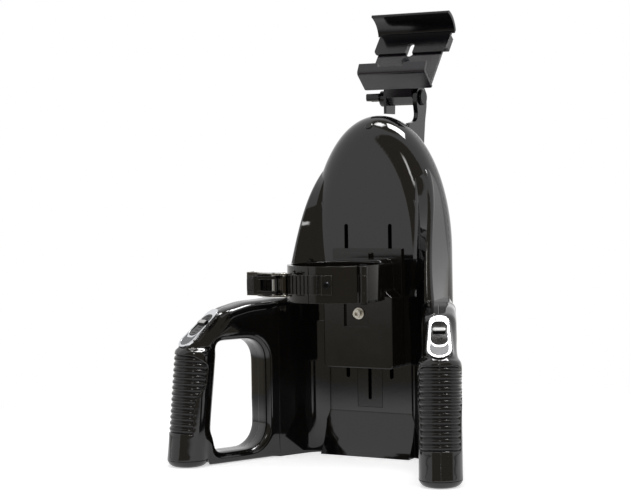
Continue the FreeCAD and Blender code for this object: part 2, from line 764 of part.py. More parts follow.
def thumb_parts(side, hand):
    """Bezel, label plate, rocker, pin, switch and return spring of one thumb pod."""
    bezel = new_body(f"{hand}_bezel", pod_frame(side, -1.6))
    ring = plane_sketch(bezel, "Ring", "XY_Plane")
    egg(ring, 28.0, 28.0, 8.7, 12.0)
    pad(bezel, ring, 3.4)
    opening = plane_sketch(bezel, "Opening", "XY_Plane")
    egg(opening, 15.8, 15.8, 7.6, 8.8, -4.0)
    pocket(bezel, opening, 20.0, both=True)
    field = plane_sketch(bezel, "Field", "XY_Plane", shifted(z=2.6))
    label_outline(field, 0.2)
    pocket(bezel, field, 4.0, reverse=True)
    label = new_body(f"{hand}_label_plate", pod_frame(side, 1.05))
    plate = plane_sketch(label, "Plate", "XY_Plane")
    label_outline(plate, 0.0)
    pad(label, plate, 0.7)
    rocker = new_body(f"{hand}_rocker", placed(pod_frame(side), -4.0))
    top_view = plane_sketch(rocker, "TopView", "XY_Plane", shifted(z=-5.6))
    egg(top_view, 15.2, 15.2, 7.0, 8.2)
    pad(rocker, top_view, 8.4)
    dish = plane_sketch(rocker, "Dish", "XZ_Plane")
    draw(dish, [(-20.0, 3.4), (20.0, 3.4), (20.0, 8.0), (-20.0, 8.0)], {0: 0.12})
    pocket(rocker, dish, 40.0, both=True)
    bar_view = plane_sketch(rocker, "Bar", "XZ_Plane")
    draw(bar_view, *soft([(-6.2, 0.0, 0), (-0.8, 0.0, 0), (-0.8, 3.6, 1.4), (-6.2, 3.6, 1.4)]))
    pad(rocker, bar_view, 13.0, both=True)
    bore = plane_sketch(rocker, "Bore", "XZ_Plane")
    draw_circle(bore, 0, -3.2, 1.3)
    pocket(rocker, bore, 40.0, both=True)
    turned_piece(f"{hand}_rocker_pin", placed(pod_frame(side), -4.0, 9.6, -3.2, FreeCAD.Rotation(X_AXIS, 90)),
                 [(0, 0), (1.25, 0), (1.25, 19.2), (0, 19.2)])
    switch = new_body(f"{hand}_switch", placed(pod_frame(side), -4.0, 0, -13.2))
    case = plane_sketch(switch, "Case", "XY_Plane")
    rectangle(case, -10.0, 10.0, -3.2, 3.2)
    pad(switch, case, 5.4)
    spring = new_body(f"{hand}_spring", placed(pod_frame(side), -4.0, 0, -7.6))
    leaf = plane_sketch(spring, "Leaf", "XZ_Plane")
    draw(leaf, [(-9.0, 0.0), (9.0, 0.0), (9.0, 0.35), (-9.0, 0.35)], {0: -0.03, 2: 0.03})
    pad(spring, leaf, 5.0, both=True)


def handle(side, hand):
    """All pieces of one handle."""
    handle_half(side, f"{hand}_handle_outer", side)
    handle_half(side, f"{hand}_handle_inner", -side)
    rubber_pad(side, f"{hand}_grip_pad")
    turned_piece(f"{hand}_end_cap", placed(handle_frame(side), S.grip_foot_out.value),
                 [(0, 0), (13.0, 0), (S.grip_round, 6.8), (0, 6.8)], {1: 0.36})
    thumb_parts(side, hand)
    turn = FreeCAD.Rotation() if side > 0 else FreeCAD.Rotation(Z_AXIS, 180.0)
    places = [(x * side, z) for x, z in HANDLE_SCREWS]
    frame = placed(handle_frame(side), 0, side * 11.0, 0, turn)
    screw_group(f"{hand}_handle_screws", frame, places, (2.9, 2.4), (1.5, 17.0))


# Bracket and collar

def ring_sector(sketch, inner, outer, first, last):
    """Draw part of a ring about the collar's axis between two turns from the front."""
    inner, outer = sized(inner), sized(outer)
    start, end = math.radians(first), math.radians(last)
    middle = (start + end) / 2.0
    bulge = math.tan((end - start) / 8.0)
    centre = S.collar_y

    def point(radius, turn):
        return radius * math.sin(turn), centre - radius * math.cos(turn)

    draw(sketch, [point(outer, start), point(outer, middle), point(outer, end),
                  point(inner, end), point(inner, middle), point(inner, start)],
         {0: bulge, 1: bulge, 3: -bulge, 4: -bulge})


def hinge_point():
    """Axis of the gate's hinge in the level plane."""
    turn = math.radians(S.hinge_turn.value)
    radius = S.collar_outer.value + 2.5
    return radius * math.sin(turn), S.collar_y.value - radius * math.cos(turn)


def bracket():
    """Slide block with its back plate, collar arc, hinge knuckles and buckle ear."""
    body = new_body("bracket")
    back = S.panel_y - S.bracket_gap
    block = plane_sketch(body, "Block", "XZ_Plane", shifted(z=-back.value))
    half = S.bracket_half.value
    low, neck, shelf = S.bracket_low.value, S.block_top.value + 5.0, S.collar_high.value + 2.2
    draw(block, *soft([(-half, low, 4.0), (half, low, 4.0), (half, neck, 3.0), (30.8, neck + 8.0, 5.0),
                       (29.8, shelf, 8.0), (-29.8, shelf, 8.0), (-30.8, neck + 8.0, 5.0), (-half, neck, 3.0)]))
    pad(body, block, back - S.block_front)
    rounded(body, 1.2, on_plane("Y", S.block_front.value))
    half = S.bracket_half
    plate = plane_sketch(body, "BackPlate", "XZ_Plane", shifted(z=-back.value))
    rectangle(plate, -half, half, S.block_top - 4.0, S.bracket_high)
    pad(body, plate, S.bracket_plate)
    raised = plane_sketch(body, "RaisedBlock", "XZ_Plane", shifted(z=-back.value))
    draw(raised, *soft([(-31.0, S.collar_low.value, 0), (5.0, S.collar_low.value, 0), (5.0, 212.5, 1.5),
                        (-31.0, 212.5, 1.5)]))
    pad(body, raised, 9.0)
    ring = plane_sketch(body, "Ring", "XY_Plane", shifted(z=S.collar_low.value))
    ring_sector(ring, S.collar_inner, S.collar_outer, 66.0, 354.0)
    pad(body, ring, S.collar_high - S.collar_low)
    ear = plane_sketch(body, "Ear", "XY_Plane", shifted(z=S.strap_low.value))
    rectangle(ear, -71.4, -20.0, -122.0, -117.4)
    pad(body, ear, S.strap_height)
    x, y = hinge_point()
    for low, high in ((S.collar_low, S.collar_low + 10.0), (S.collar_high - 9.0, S.collar_high)):
        knuckle = plane_sketch(body, "Knuckle", "XY_Plane", shifted(z=low.value))
        draw_circle(knuckle, x, y, S.knuckle_round)
        pad(body, knuckle, high - low)
        web = plane_sketch(body, "Web", "XY_Plane", shifted(z=low.value))
        ring_sector(web, S.collar_inner + 0.5, S.collar_outer, 60.0, 67.0)
        pad(body, web, high - low)
    pin = plane_sketch(body, "PinBore", "XY_Plane")
    draw_circle(pin, x, y, S.hinge_pin_round + 0.05)
    pocket(body, pin, 400.0, reverse=True)
    seat = plane_sketch(body, "Recess", "XZ_Plane", shifted(z=-S.block_front.value + 1.0))
    rectangle(seat, -16.0, 12.0, S.screw_height - 13.4, S.screw_height + 10.4)
    pocket(body, seat, 4.0)
    bore = plane_sketch(body, "ScrewBore", "XZ_Plane")
    draw_circle(bore, 0, S.screw_height, 2.7)
    pocket(body, bore, 100.0, both=True)
    for level in (S.bracket_low + 18.0, S.bracket_high - 11.0):
        guide = plane_sketch(body, "GuideBore", "XZ_Plane", shifted(z=-back.value))
        for side in (-1, 1):
            draw_circle(guide, S.slot_x * side, level, 1.25)
        pocket(body, guide, S.bracket_plate - 0.5, reverse=True)
    return body


def clamp_parts():
    """Washer, socket screw and nut that clamp the bracket to the panel, and its slide guides."""
    front = S.block_front + 3.0
    washer = new_body("clamp_washer", shifted(y=front.value - 0.1, z=S.screw_height.value))
    ring = plane_sketch(washer, "Ring", "XZ_Plane")
    draw_circle(ring, 0, 0, 6.0)
    draw_circle(ring, 0, 0, 2.7)
    pad(washer, ring, 1.2)
    screw_group("clamp_screw", turned(Z_AXIS, 180.0, 0, front.value - 1.5, S.screw_height.value),
                [(0, 0)], (4.2, 4.6), (1.7, 33.0), 2.0)
    nut = new_body("clamp_nut", shifted(y=4.9, z=S.screw_height.value))
    block = plane_sketch(nut, "Block", "XZ_Plane")
    rectangle(block, -6.5, 6.5, -6.5, 6.5)
    draw_circle(block, 0, 0, 1.75)
    pad(nut, block, 4.6)
    levels = (S.bracket_low.value + 18.0, S.bracket_high.value - 11.0)
    places = [(side * S.slot_x.value, level) for level in levels for side in (-1, 1)]
    guides = new_body("slide_guides", shifted(y=1.3))
    guides.AllowCompound = True
    flange = plane_sketch(guides, "Flanges", "XZ_Plane")
    for x, z in places:
        draw_circle(flange, x, z, 4.5)
    pad(guides, flange, 1.5)
    neck = plane_sketch(guides, "Necks", "XZ_Plane")
    for x, z in places:
        draw_circle(neck, x, z, S.slot_width * 0.5 - 0.15)
    pad(guides, neck, 5.6)
    bores = plane_sketch(guides, "Bores", "XZ_Plane")
    for x, z in places:
        draw_circle(bores, x, z, 1.25)
    pocket(guides, bores, 30.0, both=True)
    screw_group("guide_screws", shifted(y=1.4), places, (2.4, 1.8), (1.2, 7.5), 0.9)


# Gate, strap and buckle

def radial_sketch(body, name, turn, out=0.0):
    """Sketch facing outward from the collar's axis at a turn from the front."""
    rotation = FreeCAD.Rotation(Y_AXIS, turn)
    centre = V(0, 0, -S.collar_y.value) + rotation.multVec(V(0, 0, out))
    return plane_sketch(body, name, "XZ_Plane", FreeCAD.Placement(centre, rotation))


RIVET_TURN = 17.9
STRAP_MIDDLE = 186.5


def gate():
    """Hinged front arc of the collar."""
    body = new_body("gate")
    height = S.collar_high - S.collar_low
    arc = plane_sketch(body, "Arc", "XY_Plane", shifted(z=S.collar_low.value))
    ring_sector(arc, S.collar_inner, S.collar_outer, -5.2, 53.0)
    pad(body, arc, height)
    x, y = hinge_point()
    knuckle = plane_sketch(body, "Knuckle", "XY_Plane", shifted(z=(S.collar_low + 10.4).value))
    draw_circle(knuckle, x, y, S.knuckle_round)
    pad(body, knuckle, height - 19.8)
    web = plane_sketch(body, "Web", "XY_Plane", shifted(z=(S.collar_low + 10.4).value))
    ring_sector(web, S.collar_inner + 0.5, S.collar_outer, 52.0, 60.0)
    pad(body, web, height - 19.8)
    pin = plane_sketch(body, "PinBore", "XY_Plane")
    draw_circle(pin, x, y, S.hinge_pin_round + 0.05)
    pocket(body, pin, 400.0, reverse=True)
    rivet = radial_sketch(body, "RivetBore", RIVET_TURN)
    draw_circle(rivet, 0, STRAP_MIDDLE, 1.6)
    pocket(body, rivet, 120.0, both=True)


def strap():
    """Toothed ladder strap with its end blocks."""
    body = new_body("ladder_strap")
    inner = S.collar_outer.value + 0.4
    outer = inner + S.strap_thick.value
    middle = S.collar_y.value

    def point(radius, turn):
        angle = math.radians(turn)
        return radius * math.sin(angle), middle - radius * math.cos(angle)

    end = 23.4
    corners = [point(outer, 0.0), point(outer, end * 0.5), point(outer, end), point(inner, end),
               point(inner, end * 0.5), point(inner, 0.0), (-66.0, middle - inner), (-66.0, middle - outer)]
    pitch = S.tooth_pitch.value
    for index in range(14):
        x = -62.0 + pitch * index
        corners += [(x, middle - outer), (x + 0.6, middle - outer - 1.5),
                    (x + 2.4, middle - outer - 1.5), (x + 3.0, middle - outer)]
    bulge = math.tan(math.radians(end / 8.0))
    band = plane_sketch(body, "Band", "XY_Plane", shifted(z=S.strap_low.value))
    draw(band, corners, {0: bulge, 1: bulge, 3: -bulge, 4: -bulge})
    pad(body, band, S.strap_height)
    for first, last in ((0.6, 8.0), (12.4, end)):
        block = plane_sketch(body, "Block", "XY_Plane", shifted(z=S.strap_low.value))
        ring_sector(block, outer - 0.4, outer + 2.4, first, last)
        pad(body, block, S.strap_height)
    rivet = radial_sketch(body, "RivetBore", RIVET_TURN)
    draw_circle(rivet, 0, STRAP_MIDDLE, 1.6)
    pocket(body, rivet, 140.0, both=True)
    x, y = hinge_point()
    rise = (S.collar_high - S.collar_low).value
    pin_round = S.hinge_pin_round
    turned_piece("hinge_pin", shifted(x, y, S.collar_low.value - 1.5),
                 [(0, 0), (3.2, 0), (3.2, 1.3), (pin_round, 1.3), (pin_round, rise + 1.7), (3.2, rise + 1.7),
                  (3.2, rise + 3.0), (0, rise + 3.0)])
    rotation = FreeCAD.Rotation(Z_AXIS, RIVET_TURN) * FreeCAD.Rotation(X_AXIS, 90)
    turned_piece("strap_rivet", FreeCAD.Placement(V(0, middle, STRAP_MIDDLE), rotation),
                 [(0, 45.4), (1.5, 45.4), (1.5, outer + 2.5), (3.6, outer + 2.5), (2.6, outer + 3.8),
                  (0, outer + 3.8)])


LEVER_PIVOT = (-38.0, -137.0)
PAWL_PIVOT = (-28.0, -133.6)


def buckle():
    """Buckle frame with its forked lever, pawl and pins."""
    low = S.strap_low.value
    high = (S.strap_low + S.strap_height).value
    frame = new_body("buckle_frame")
    base = plane_sketch(frame, "Base", "XY_Plane", shifted(z=low - 2.2))
    rectangle(base, -75.2, -29.0, -125.9, -123.7)
    pad(frame, base, S.strap_height + 4.4)
    lip = plane_sketch(frame, "Lip", "XY_Plane", shifted(z=low - 2.2))
    rectangle(lip, -75.2, -73.0, -125.0, -115.0)
    pad(frame, lip, S.strap_height + 4.4)
    for level in (low - 2.2, high + 0.6):
        cheek = plane_sketch(frame, "Cheek", "XY_Plane", shifted(z=level))
        draw(cheek, *soft([(-60.0, -123.7, 0), (-60.0, -131.5, 3.0), (-50.0, -138.0, 8.0), (-38.0, -142.0, 6.0),
                           (-25.0, -139.5, 5.0), (-21.0, -131.0, 4.0), (-22.5, -127.0, 1.5), (-29.0, -125.0, 0),
                           (-29.0, -123.7, 0)]))
        pad(frame, cheek, 1.6)
    pins = plane_sketch(frame, "PinBores", "XY_Plane")
    draw_circle(pins, *LEVER_PIVOT, 1.55)
    draw_circle(pins, *PAWL_PIVOT, 1.3)
    pocket(frame, pins, 400.0, reverse=True)
    lever = new_body("buckle_lever")
    x, y = LEVER_PIVOT
    for level in (low + 0.6, high - 3.8):
        fork = plane_sketch(lever, "Fork", "XY_Plane", shifted(z=level))
        draw(fork, *soft([(x + 4.0, y + 4.0, 3.9), (x + 4.0, y - 4.0, 3.9), (-53.0, -143.2, 0),
                          (-53.0, -137.8, 0), (-44.0, y + 1.5, 3.0), (x - 3.0, y + 4.0, 3.0)]))
        pad(lever, fork, 3.2)
    grip = plane_sketch(lever, "Grip", "XY_Plane", shifted(z=low + 0.6))
    draw(grip, *soft([(-50.0, -142.7, 0.8), (-57.5, -143.8, 0.8), (-58.5, -142.2, 0.5), (-67.0, -140.6, 1.2),
                      (-66.5, -137.2, 1.2), (-50.0, -137.8, 0.8)]))
    pad(lever, grip, high - low - 1.2)
    bore = plane_sketch(lever, "Bore", "XY_Plane")
    draw_circle(bore, x, y, 1.55)
    pocket(lever, bore, 400.0, reverse=True)
    pawl = new_body("pawl")
    x, y = PAWL_PIVOT
    body = plane_sketch(pawl, "Barrel", "XY_Plane", shifted(z=low + 1.0))
    draw_circle(body, x, y, 2.7)
    pad(pawl, body, S.strap_height - 2.0)
    nose = plane_sketch(pawl, "Nose", "XY_Plane", shifted(z=low + 1.0))
    draw(nose, [(x + 1.0, y + 2.2), (x + 1.0, y + 0.6), (x - 5.0, y + 0.2), (x - 7.4, y + 2.7), (x - 6.0, y + 2.9)])
    pad(pawl, nose, S.strap_height - 2.0)
    hole = plane_sketch(pawl, "Bore", "XY_Plane")
    draw_circle(hole, x, y, 1.3)
    pocket(pawl, hole, 400.0, reverse=True)
    long = high - low + 5.6
    turned_piece("lever_pin", shifted(*LEVER_PIVOT, low - 2.8), [(0, 0), (1.5, 0), (1.5, long), (0, long)])
    turned_piece("pawl_pin", shifted(*PAWL_PIVOT, low - 2.8), [(0, 0), (1.25, 0), (1.25, long), (0, long)])


# Phone holder

def tilt_frame():
    """Frame on the tilt axis: X along it, Z up the phone plate."""
    return turned(X_AXIS, -S.tilt_lean.value, 0, S.tilt_y.value, S.tilt_z.value)


def phone_arm():
    """Upright arm from the back of the shell to the tilt axis."""
    body = new_body("phone_arm")
    y, z = S.tilt_y, S.tilt_z
    back = S.back_y
    rib = plane_sketch(body, "Rib", "YZ_Plane", shifted(z=15.0))
    rear, y_mid, z_mid = back.value, y.value, z.value
    draw(rib, *soft([(rear + 0.6, 262.0, 0), (rear + 9.0, 262.0, 4.0), (rear + 35.0, 318.0, 40.0),
                     (y_mid + 8.5, z_mid - 25.0, 40.0), (y_mid + 12.5, z_mid - 10.0, 12.0),
                     (y_mid + 12.5, z_mid + 12.5, 12.4), (y_mid - 12.5, z_mid + 12.5, 12.4),
                     (y_mid - 12.5, z_mid - 6.0, 16.0), (y_mid - 8.0, z_mid - 25.0, 9.0),
                     (rear - 1.5, z_mid - 29.0, 4.0), (rear + 0.6, 325.0, 10.0)]))
    pad(body, rib, S.arm_plate)
    foot = plane_sketch(body, "Foot", "XZ_Plane", shifted(z=-back.value - 0.3))
    draw(foot, [(6.0, 262.0), (29.0, 262.0), (32.0, 265.0), (32.0, 311.0), (29.0, 314.0), (6.0, 314.0),
                (3.0, 311.0), (3.0, 265.0)])
    pad(body, foot, 4.0, reverse=True)
    bore = plane_sketch(body, "Bore", "YZ_Plane")
    draw_circle(bore, y, z, S.tilt_bolt_round + 0.05)
    pocket(body, bore, 100.0, both=True)
    holes = plane_sketch(body, "ScrewHoles", "XZ_Plane")
    for hole_x, hole_z in ARM_SCREWS:
        draw_circle(holes, hole_x, hole_z, 1.7)
    pocket(body, holes, 200.0, both=True)
    screw_group("arm_screws", shifted(y=back.value + 4.4), ARM_SCREWS, (3.0, 2.2), (1.5, 9.0))


def holder_base():
    """Phone plate with its hinge block, tray and lower lip."""
    body = new_body("holder_base", tilt_frame())
    out = S.phone_plate_out
    thick = S.phone_plate_thick
    half = S.phone_half - 0.5
    plate = plane_sketch(body, "Plate", "XZ_Plane", shifted(z=(out - thick).value))
    draw(plate, [(-half, -4.0), (half, -4.0), (half, 62.0), (half - 8.0, 70.0), (8.0 - half, 70.0), (-half, 62.0)],
         {2: 0.41, 4: 0.41})
    pad(body, plate, thick)
    reach = out + S.tray_reach
    tray = plane_sketch(body, "Tray", "YZ_Plane")
    back_line, lip = (thick - out - 0.5).value, -reach.value
    draw(tray, *soft([(back_line, -4.0, 0), (lip + 1.0, -3.4, 4.5), (lip - 1.6, 9.0, 0.9), (lip + 1.2, 9.6, 0.9),
                      (lip + 3.4, -0.6, 3.0), (back_line, -1.4, 0)]))
    pad(body, tray, 80.0, both=True)
    gap = plane_sketch(body, "LipGap", "XZ_Plane", shifted(z=reach.value - 6.0))
    draw(gap, [(-16.0, 3.4), (12.0, 3.4), (15.0, 14.0), (-19.0, 14.0)], {0: -0.05})
    pocket(body, gap, 20.0, reverse=True)
    block = plane_sketch(body, "HingeBlock", "YZ_Plane", shifted(z=-16.0))
    draw(block, [(0, -8.0), (0, 8.0), (thick - out - 0.5, 16.0), (thick - out - 0.5, -4.0), (-10.0, -8.0)],
         {0: 1.0})
    pad(body, block, 30.0)
    bore = plane_sketch(body, "Bore", "YZ_Plane")
    draw_circle(bore, 0, 0, S.tilt_bolt_round + 0.05)
    pocket(body, bore, 100.0, both=True)
    slot = plane_sketch(body, "Slot", "XZ_Plane", shifted(z=(out - thick).value - 1.0))
    round_slot(slot, sized(0.0), 7.6, 42.0, 62.0)
    draw_circle(slot, 0, 32.4, 2.5)
    pocket(body, slot, 6.0, reverse=True)
    return body


def upper_jaw():
    """Sliding upper jaw that wraps round the plate's edges."""
    body = new_body("upper_jaw", tilt_frame())
    out = S.phone_plate_out + 0.4
    plate = plane_sketch(body, "Plate", "XZ_Plane", shifted(z=out.value))
    draw(plate, [(-37.3, 45.0), (37.3, 45.0), (43.3, 51.0), (43.3, 78.0), (-43.3, 78.0), (-43.3, 51.0)],
         {1: 0.41, 5: 0.41})
    pad(body, plate, 2.2)
    hook = plane_sketch(body, "Hook", "YZ_Plane")
    draw(hook, [(-out, 73.4), (-out - 26.2, 78.4), (-out - 26.2, 82.0), (-out, 77.9)],
         {0: 0.27, 1: -0.5, 2: -0.27})
    pad(body, hook, S.jaw_half * 2.0, both=True)
    rails = plane_sketch(body, "Rails", "XZ_Plane", shifted(z=15.0))
    rectangle(rails, S.phone_half - 0.1, 43.3, 52.0, 70.0)
    rectangle(rails, -43.3, 0.1 - S.phone_half, 52.0, 70.0)
    pad(body, rails, out - 15.0 + 0.5)
    lips = plane_sketch(body, "Lips", "XZ_Plane", shifted(z=15.0))
    rectangle(lips, 35.0, 43.3, 52.0, 70.0)
    rectangle(lips, -43.3, -35.0, 52.0, 70.0)
    pad(body, lips, 2.6)
    slot = plane_sketch(body, "Slot", "XZ_Plane", shifted(z=out.value - 1.0))
    round_slot(slot, sized(0.0), 7.6, 36.0, 59.0)
    pocket(body, slot, 6.0, reverse=True)


def holder_fixings():
    """Plate bolt and nut, tilt bolt, clamp cheek and knob."""
    out = S.phone_plate_out.value
    behind = S.phone_plate_thick.value - out + 0.2
    bolt_frame = placed(tilt_frame(), 0, behind, 32.4)
    screw_group("plate_bolt", bolt_frame, [(0, 0)], (4.6, 3.0), (2.4, 8.0))
    nut = new_body("plate_nut", placed(tilt_frame(), 0, -out - 0.2, 32.4))
    body = plane_sketch(nut, "Nut", "XZ_Plane")
    hexagon(body, 0, 0, 4.4)
    draw_circle(body, 0, 0, 2.45)
    pad(nut, body, 3.6)
    along = turned(Y_AXIS, 90.0, 0, S.tilt_y.value, S.tilt_z.value)
    round_bolt = S.tilt_bolt_round
    turned_piece("tilt_bolt", along,
                 [(0, -40.0), (round_bolt, -40.0), (round_bolt, 20.3), (8.7, 20.3), (8.7, 21.6), (7.6, 22.8),
                  (0, 22.8)])
    cheek = new_body("clamp_cheek")
    plate = plane_sketch(cheek, "Plate", "YZ_Plane", shifted(z=-20.0))
    y, z = S.tilt_y, S.tilt_z
    draw(plate, [(y - 12.0, z - 17.0), (y + 10.0, z - 17.0), (y + 11.0, z), (y + 11.0, z + 8.0),
                 (y - 12.0, z + 8.0)], {3: 0.6})
    pad(cheek, plate, 3.0)
    bore = plane_sketch(cheek, "Bore", "YZ_Plane")
    draw_circle(bore, y, z, round_bolt + 0.05)
    pocket(cheek, bore, 100.0, both=True)
    knob = new_body("tilt_knob")
    hub = plane_sketch(knob, "Hub", "YZ_Plane", shifted(z=-27.6))
    draw_circle(hub, y, z, 8.6)
    pad(knob, hub, 7.2)
    bar_view = plane_sketch(knob, "Bar", "YZ_Plane", shifted(z=-42.0))
    y_mid, z_mid = y.value, z.value
    draw(bar_view, *soft([(y_mid - 11.0, z_mid - 2.6, 2.5), (y_mid + 11.0, z_mid - 2.6, 2.5),
                          (y_mid + 11.0, z_mid + 5.6, 2.5), (y_mid - 11.0, z_mid + 5.6, 2.5)]))
    pad(knob, bar_view, 15.0)
    shaft = plane_sketch(knob, "Bore", "YZ_Plane")
    draw_circle(shaft, y, z, round_bolt + 0.05)
    pocket(knob, shaft, 100.0, both=True)


def plug_and_screws():
    """Round plug on the front rounding and the screws that hold the two shells."""
    turned_piece("apex_plug", plug_frame(),
                 [(0, -5.0), (S.plug_round, -5.0), (S.plug_round, 0.3), (S.plug_round - 0.6, 0.8), (0, 0.8)])
    screw_group("shell_screws", shifted(y=S.parting_y.value + 12.1), BOSSES, (2.9, 2.4), (1.5, 26.0))


front_shell()
back_shell()
slot_plate()
plug_and_screws()
for hand_side, hand_name in ((1, "right"), (-1, "left")):
    handle(hand_side, hand_name)
bracket()
clamp_parts()
gate()
strap()
buckle()
phone_arm()
holder_base()
upper_jaw()
holder_fixings()


def check_and_write():
    """Stop on any failed object or bad shape, then write one file per sub-part."""
    doc.recompute()
    for item in doc.Objects:
        if "Invalid" in item.State or "Error" in item.State:
            raise RuntimeError(f"{item.Label} failed: {item.State}")
    os.makedirs("parts", exist_ok=True)
    pieces = [item for item in doc.Objects
              if item.TypeId in ("PartDesign::Body", "Part::Feature")]
    for piece in pieces:
        shape = piece.Shape
        if shape.isNull() or not shape.isValid():
            raise RuntimeError(f"{piece.Label} has a bad shape")
        shape.exportStep(os.path.join("parts", f"{piece.Label}.step"))
        print(piece.Label, len(shape.Solids), round(shape.Volume))


check_and_write()
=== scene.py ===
"""Looks of the two-handled blower carrier: shell, D-handles, ratchet collar and phone holder.

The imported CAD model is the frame. The classes below give its pieces their finishes, add the detail
that the solids leave out, and set up a plain studio with the camera at the photograph's angle.
"""

import json
import logging
import math
from dataclasses import dataclass, field
from enum import Enum
from typing import Any, Iterable, Sequence

import bmesh
import bpy
from mathutils import Matrix, Vector
from mathutils.bvhtree import BVHTree

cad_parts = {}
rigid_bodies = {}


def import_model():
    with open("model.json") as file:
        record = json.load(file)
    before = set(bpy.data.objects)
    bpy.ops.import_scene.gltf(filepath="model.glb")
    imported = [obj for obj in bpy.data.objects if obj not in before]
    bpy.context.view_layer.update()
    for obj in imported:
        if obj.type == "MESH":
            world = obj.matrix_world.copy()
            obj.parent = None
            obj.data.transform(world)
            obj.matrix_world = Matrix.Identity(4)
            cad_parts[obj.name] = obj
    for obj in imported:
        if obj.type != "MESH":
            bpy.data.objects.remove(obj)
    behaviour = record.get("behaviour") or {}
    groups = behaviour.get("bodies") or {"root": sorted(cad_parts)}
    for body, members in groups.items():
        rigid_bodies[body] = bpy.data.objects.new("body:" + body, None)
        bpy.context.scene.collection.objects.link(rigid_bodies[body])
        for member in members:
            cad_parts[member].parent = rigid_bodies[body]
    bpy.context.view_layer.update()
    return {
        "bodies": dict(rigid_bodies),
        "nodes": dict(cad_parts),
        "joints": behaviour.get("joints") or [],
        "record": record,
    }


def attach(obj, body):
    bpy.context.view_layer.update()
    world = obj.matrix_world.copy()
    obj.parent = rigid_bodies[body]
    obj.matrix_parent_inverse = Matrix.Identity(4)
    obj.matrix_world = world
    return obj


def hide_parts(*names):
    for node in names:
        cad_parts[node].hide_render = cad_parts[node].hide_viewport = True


LOG = logging.getLogger("carrier")

MM = 0.001
QUARTER_TURN = 90.0
WELD_MM = 0.002
WHITE = (1.0, 1.0, 1.0, 1.0)
Point = tuple[float, float, float]
Pair = tuple[float, float]

# sRGB's curve: a straight toe, and above it a power of the lifted value
SRGB_TOE = 0.04045
SRGB_TOE_SLOPE = 12.92
SRGB_LIFT = 0.055
SRGB_POWER = 2.4


# Colour, object and node helpers


def linear(hex_colour: str) -> tuple[float, float, float, float]:
    """Turn an sRGB hex colour into the linear colour that shaders take.

    Args:
        hex_colour: Six hex digits.

    Returns:
        Linear red, green and blue, and full opacity.
    """
    parts = [int(hex_colour[start:start + 2], 16) / 255.0 for start in (0, 2, 4)]
    red, green, blue = [
        part / SRGB_TOE_SLOPE if part <= SRGB_TOE
        else ((part + SRGB_LIFT) / (1.0 + SRGB_LIFT)) ** SRGB_POWER
        for part in parts
    ]
    return red, green, blue, 1.0


def put(name: str, data: bpy.types.ID) -> bpy.types.Object:
    """Make an object and link it to the scene.

    Args:
        name: Name of the object.
        data: Mesh, lamp or camera that it shows.

    Returns:
        The new object.
    """
    made = bpy.data.objects.new(name, data)
    bpy.context.scene.collection.objects.link(made)
    return made


def plain_mesh(piece: bpy.types.Object) -> bpy.types.Mesh:
    """Give a piece's mesh as its modifiers leave it.

    Args:
        piece: An object with modifiers.

    Returns:
        A new mesh without modifiers.
    """
    graph = bpy.context.evaluated_depsgraph_get()
    return bpy.data.meshes.new_from_object(piece.evaluated_get(graph))


def add_node(tree: bpy.types.NodeTree, kind: str, settings: dict[str | int, Any] | None = None,
             links: dict[str | int, Any] | None = None) -> bpy.types.Node:
    """Add one node with its settings, input values and incoming links.

    Args:
        tree: Node tree that gets the node.
        kind: Blender's name for the node type.
        settings: Properties of the node, or input values by socket name or number.
        links: Incoming sockets by the name or number of the node's input.

    Returns:
        The new node.
    """
    node = tree.nodes.new(kind)
    for name, value in (settings or {}).items():
        if isinstance(name, int) or name in node.inputs:
            node.inputs[name].default_value = value
        else:
            setattr(node, name, value)
    for name, socket in (links or {}).items():
        tree.links.new(socket, node.inputs[name])
    return node


def reckon(tree: bpy.types.NodeTree, operation: str, first: bpy.types.NodeSocket,
           second: bpy.types.NodeSocket) -> bpy.types.NodeSocket:
    """Combine two values with a shader's maths node.

    Args:
        tree: Node tree that gets the node.
        operation: Blender's name for the operation.
        first: First value.
        second: Second value.

    Returns:
        The socket with the result.
    """
    node = add_node(tree, "ShaderNodeMath", {"operation": operation}, {0: first, 1: second})
    return node.outputs["Value"]


def smooth_step(tree: bpy.types.NodeTree, span: Pair,
                value: bpy.types.NodeSocket) -> bpy.types.NodeSocket:
    """Rise smoothly from 0 to 1 while a value crosses a span.

    Args:
        tree: Node tree that gets the node.
        span: The value that gives 0, and the value that gives 1.
        value: The value.

    Returns:
        The socket with the result.
    """
    node = add_node(tree, "ShaderNodeMapRange",
                    {"interpolation_type": "SMOOTHSTEP", "From Min": span[0], "From Max": span[1]},
                    {"Value": value})
    return node.outputs["Result"]


# Finishes

# Detail and roughness of the noise behind the patchy gloss and behind the grain
PATCH_NOISE = {"Detail": 4.0, "Roughness": 0.55}
GRAIN_NOISE = {"Detail": 2.0, "Roughness": 0.5}
# Noise values that give a patch its full gloss either way
PATCH_RANGE = (0.3, 0.7)
LOWEST_ROUGHNESS = 0.02
BEVEL_SAMPLES = 6
# Cosines between a face and its softened edge: where the rubbing and the painted edge highlight
# start, and where they are full
RUBBED_AND_HIGHLIGHT_RANGE = (0.99, 0.8)


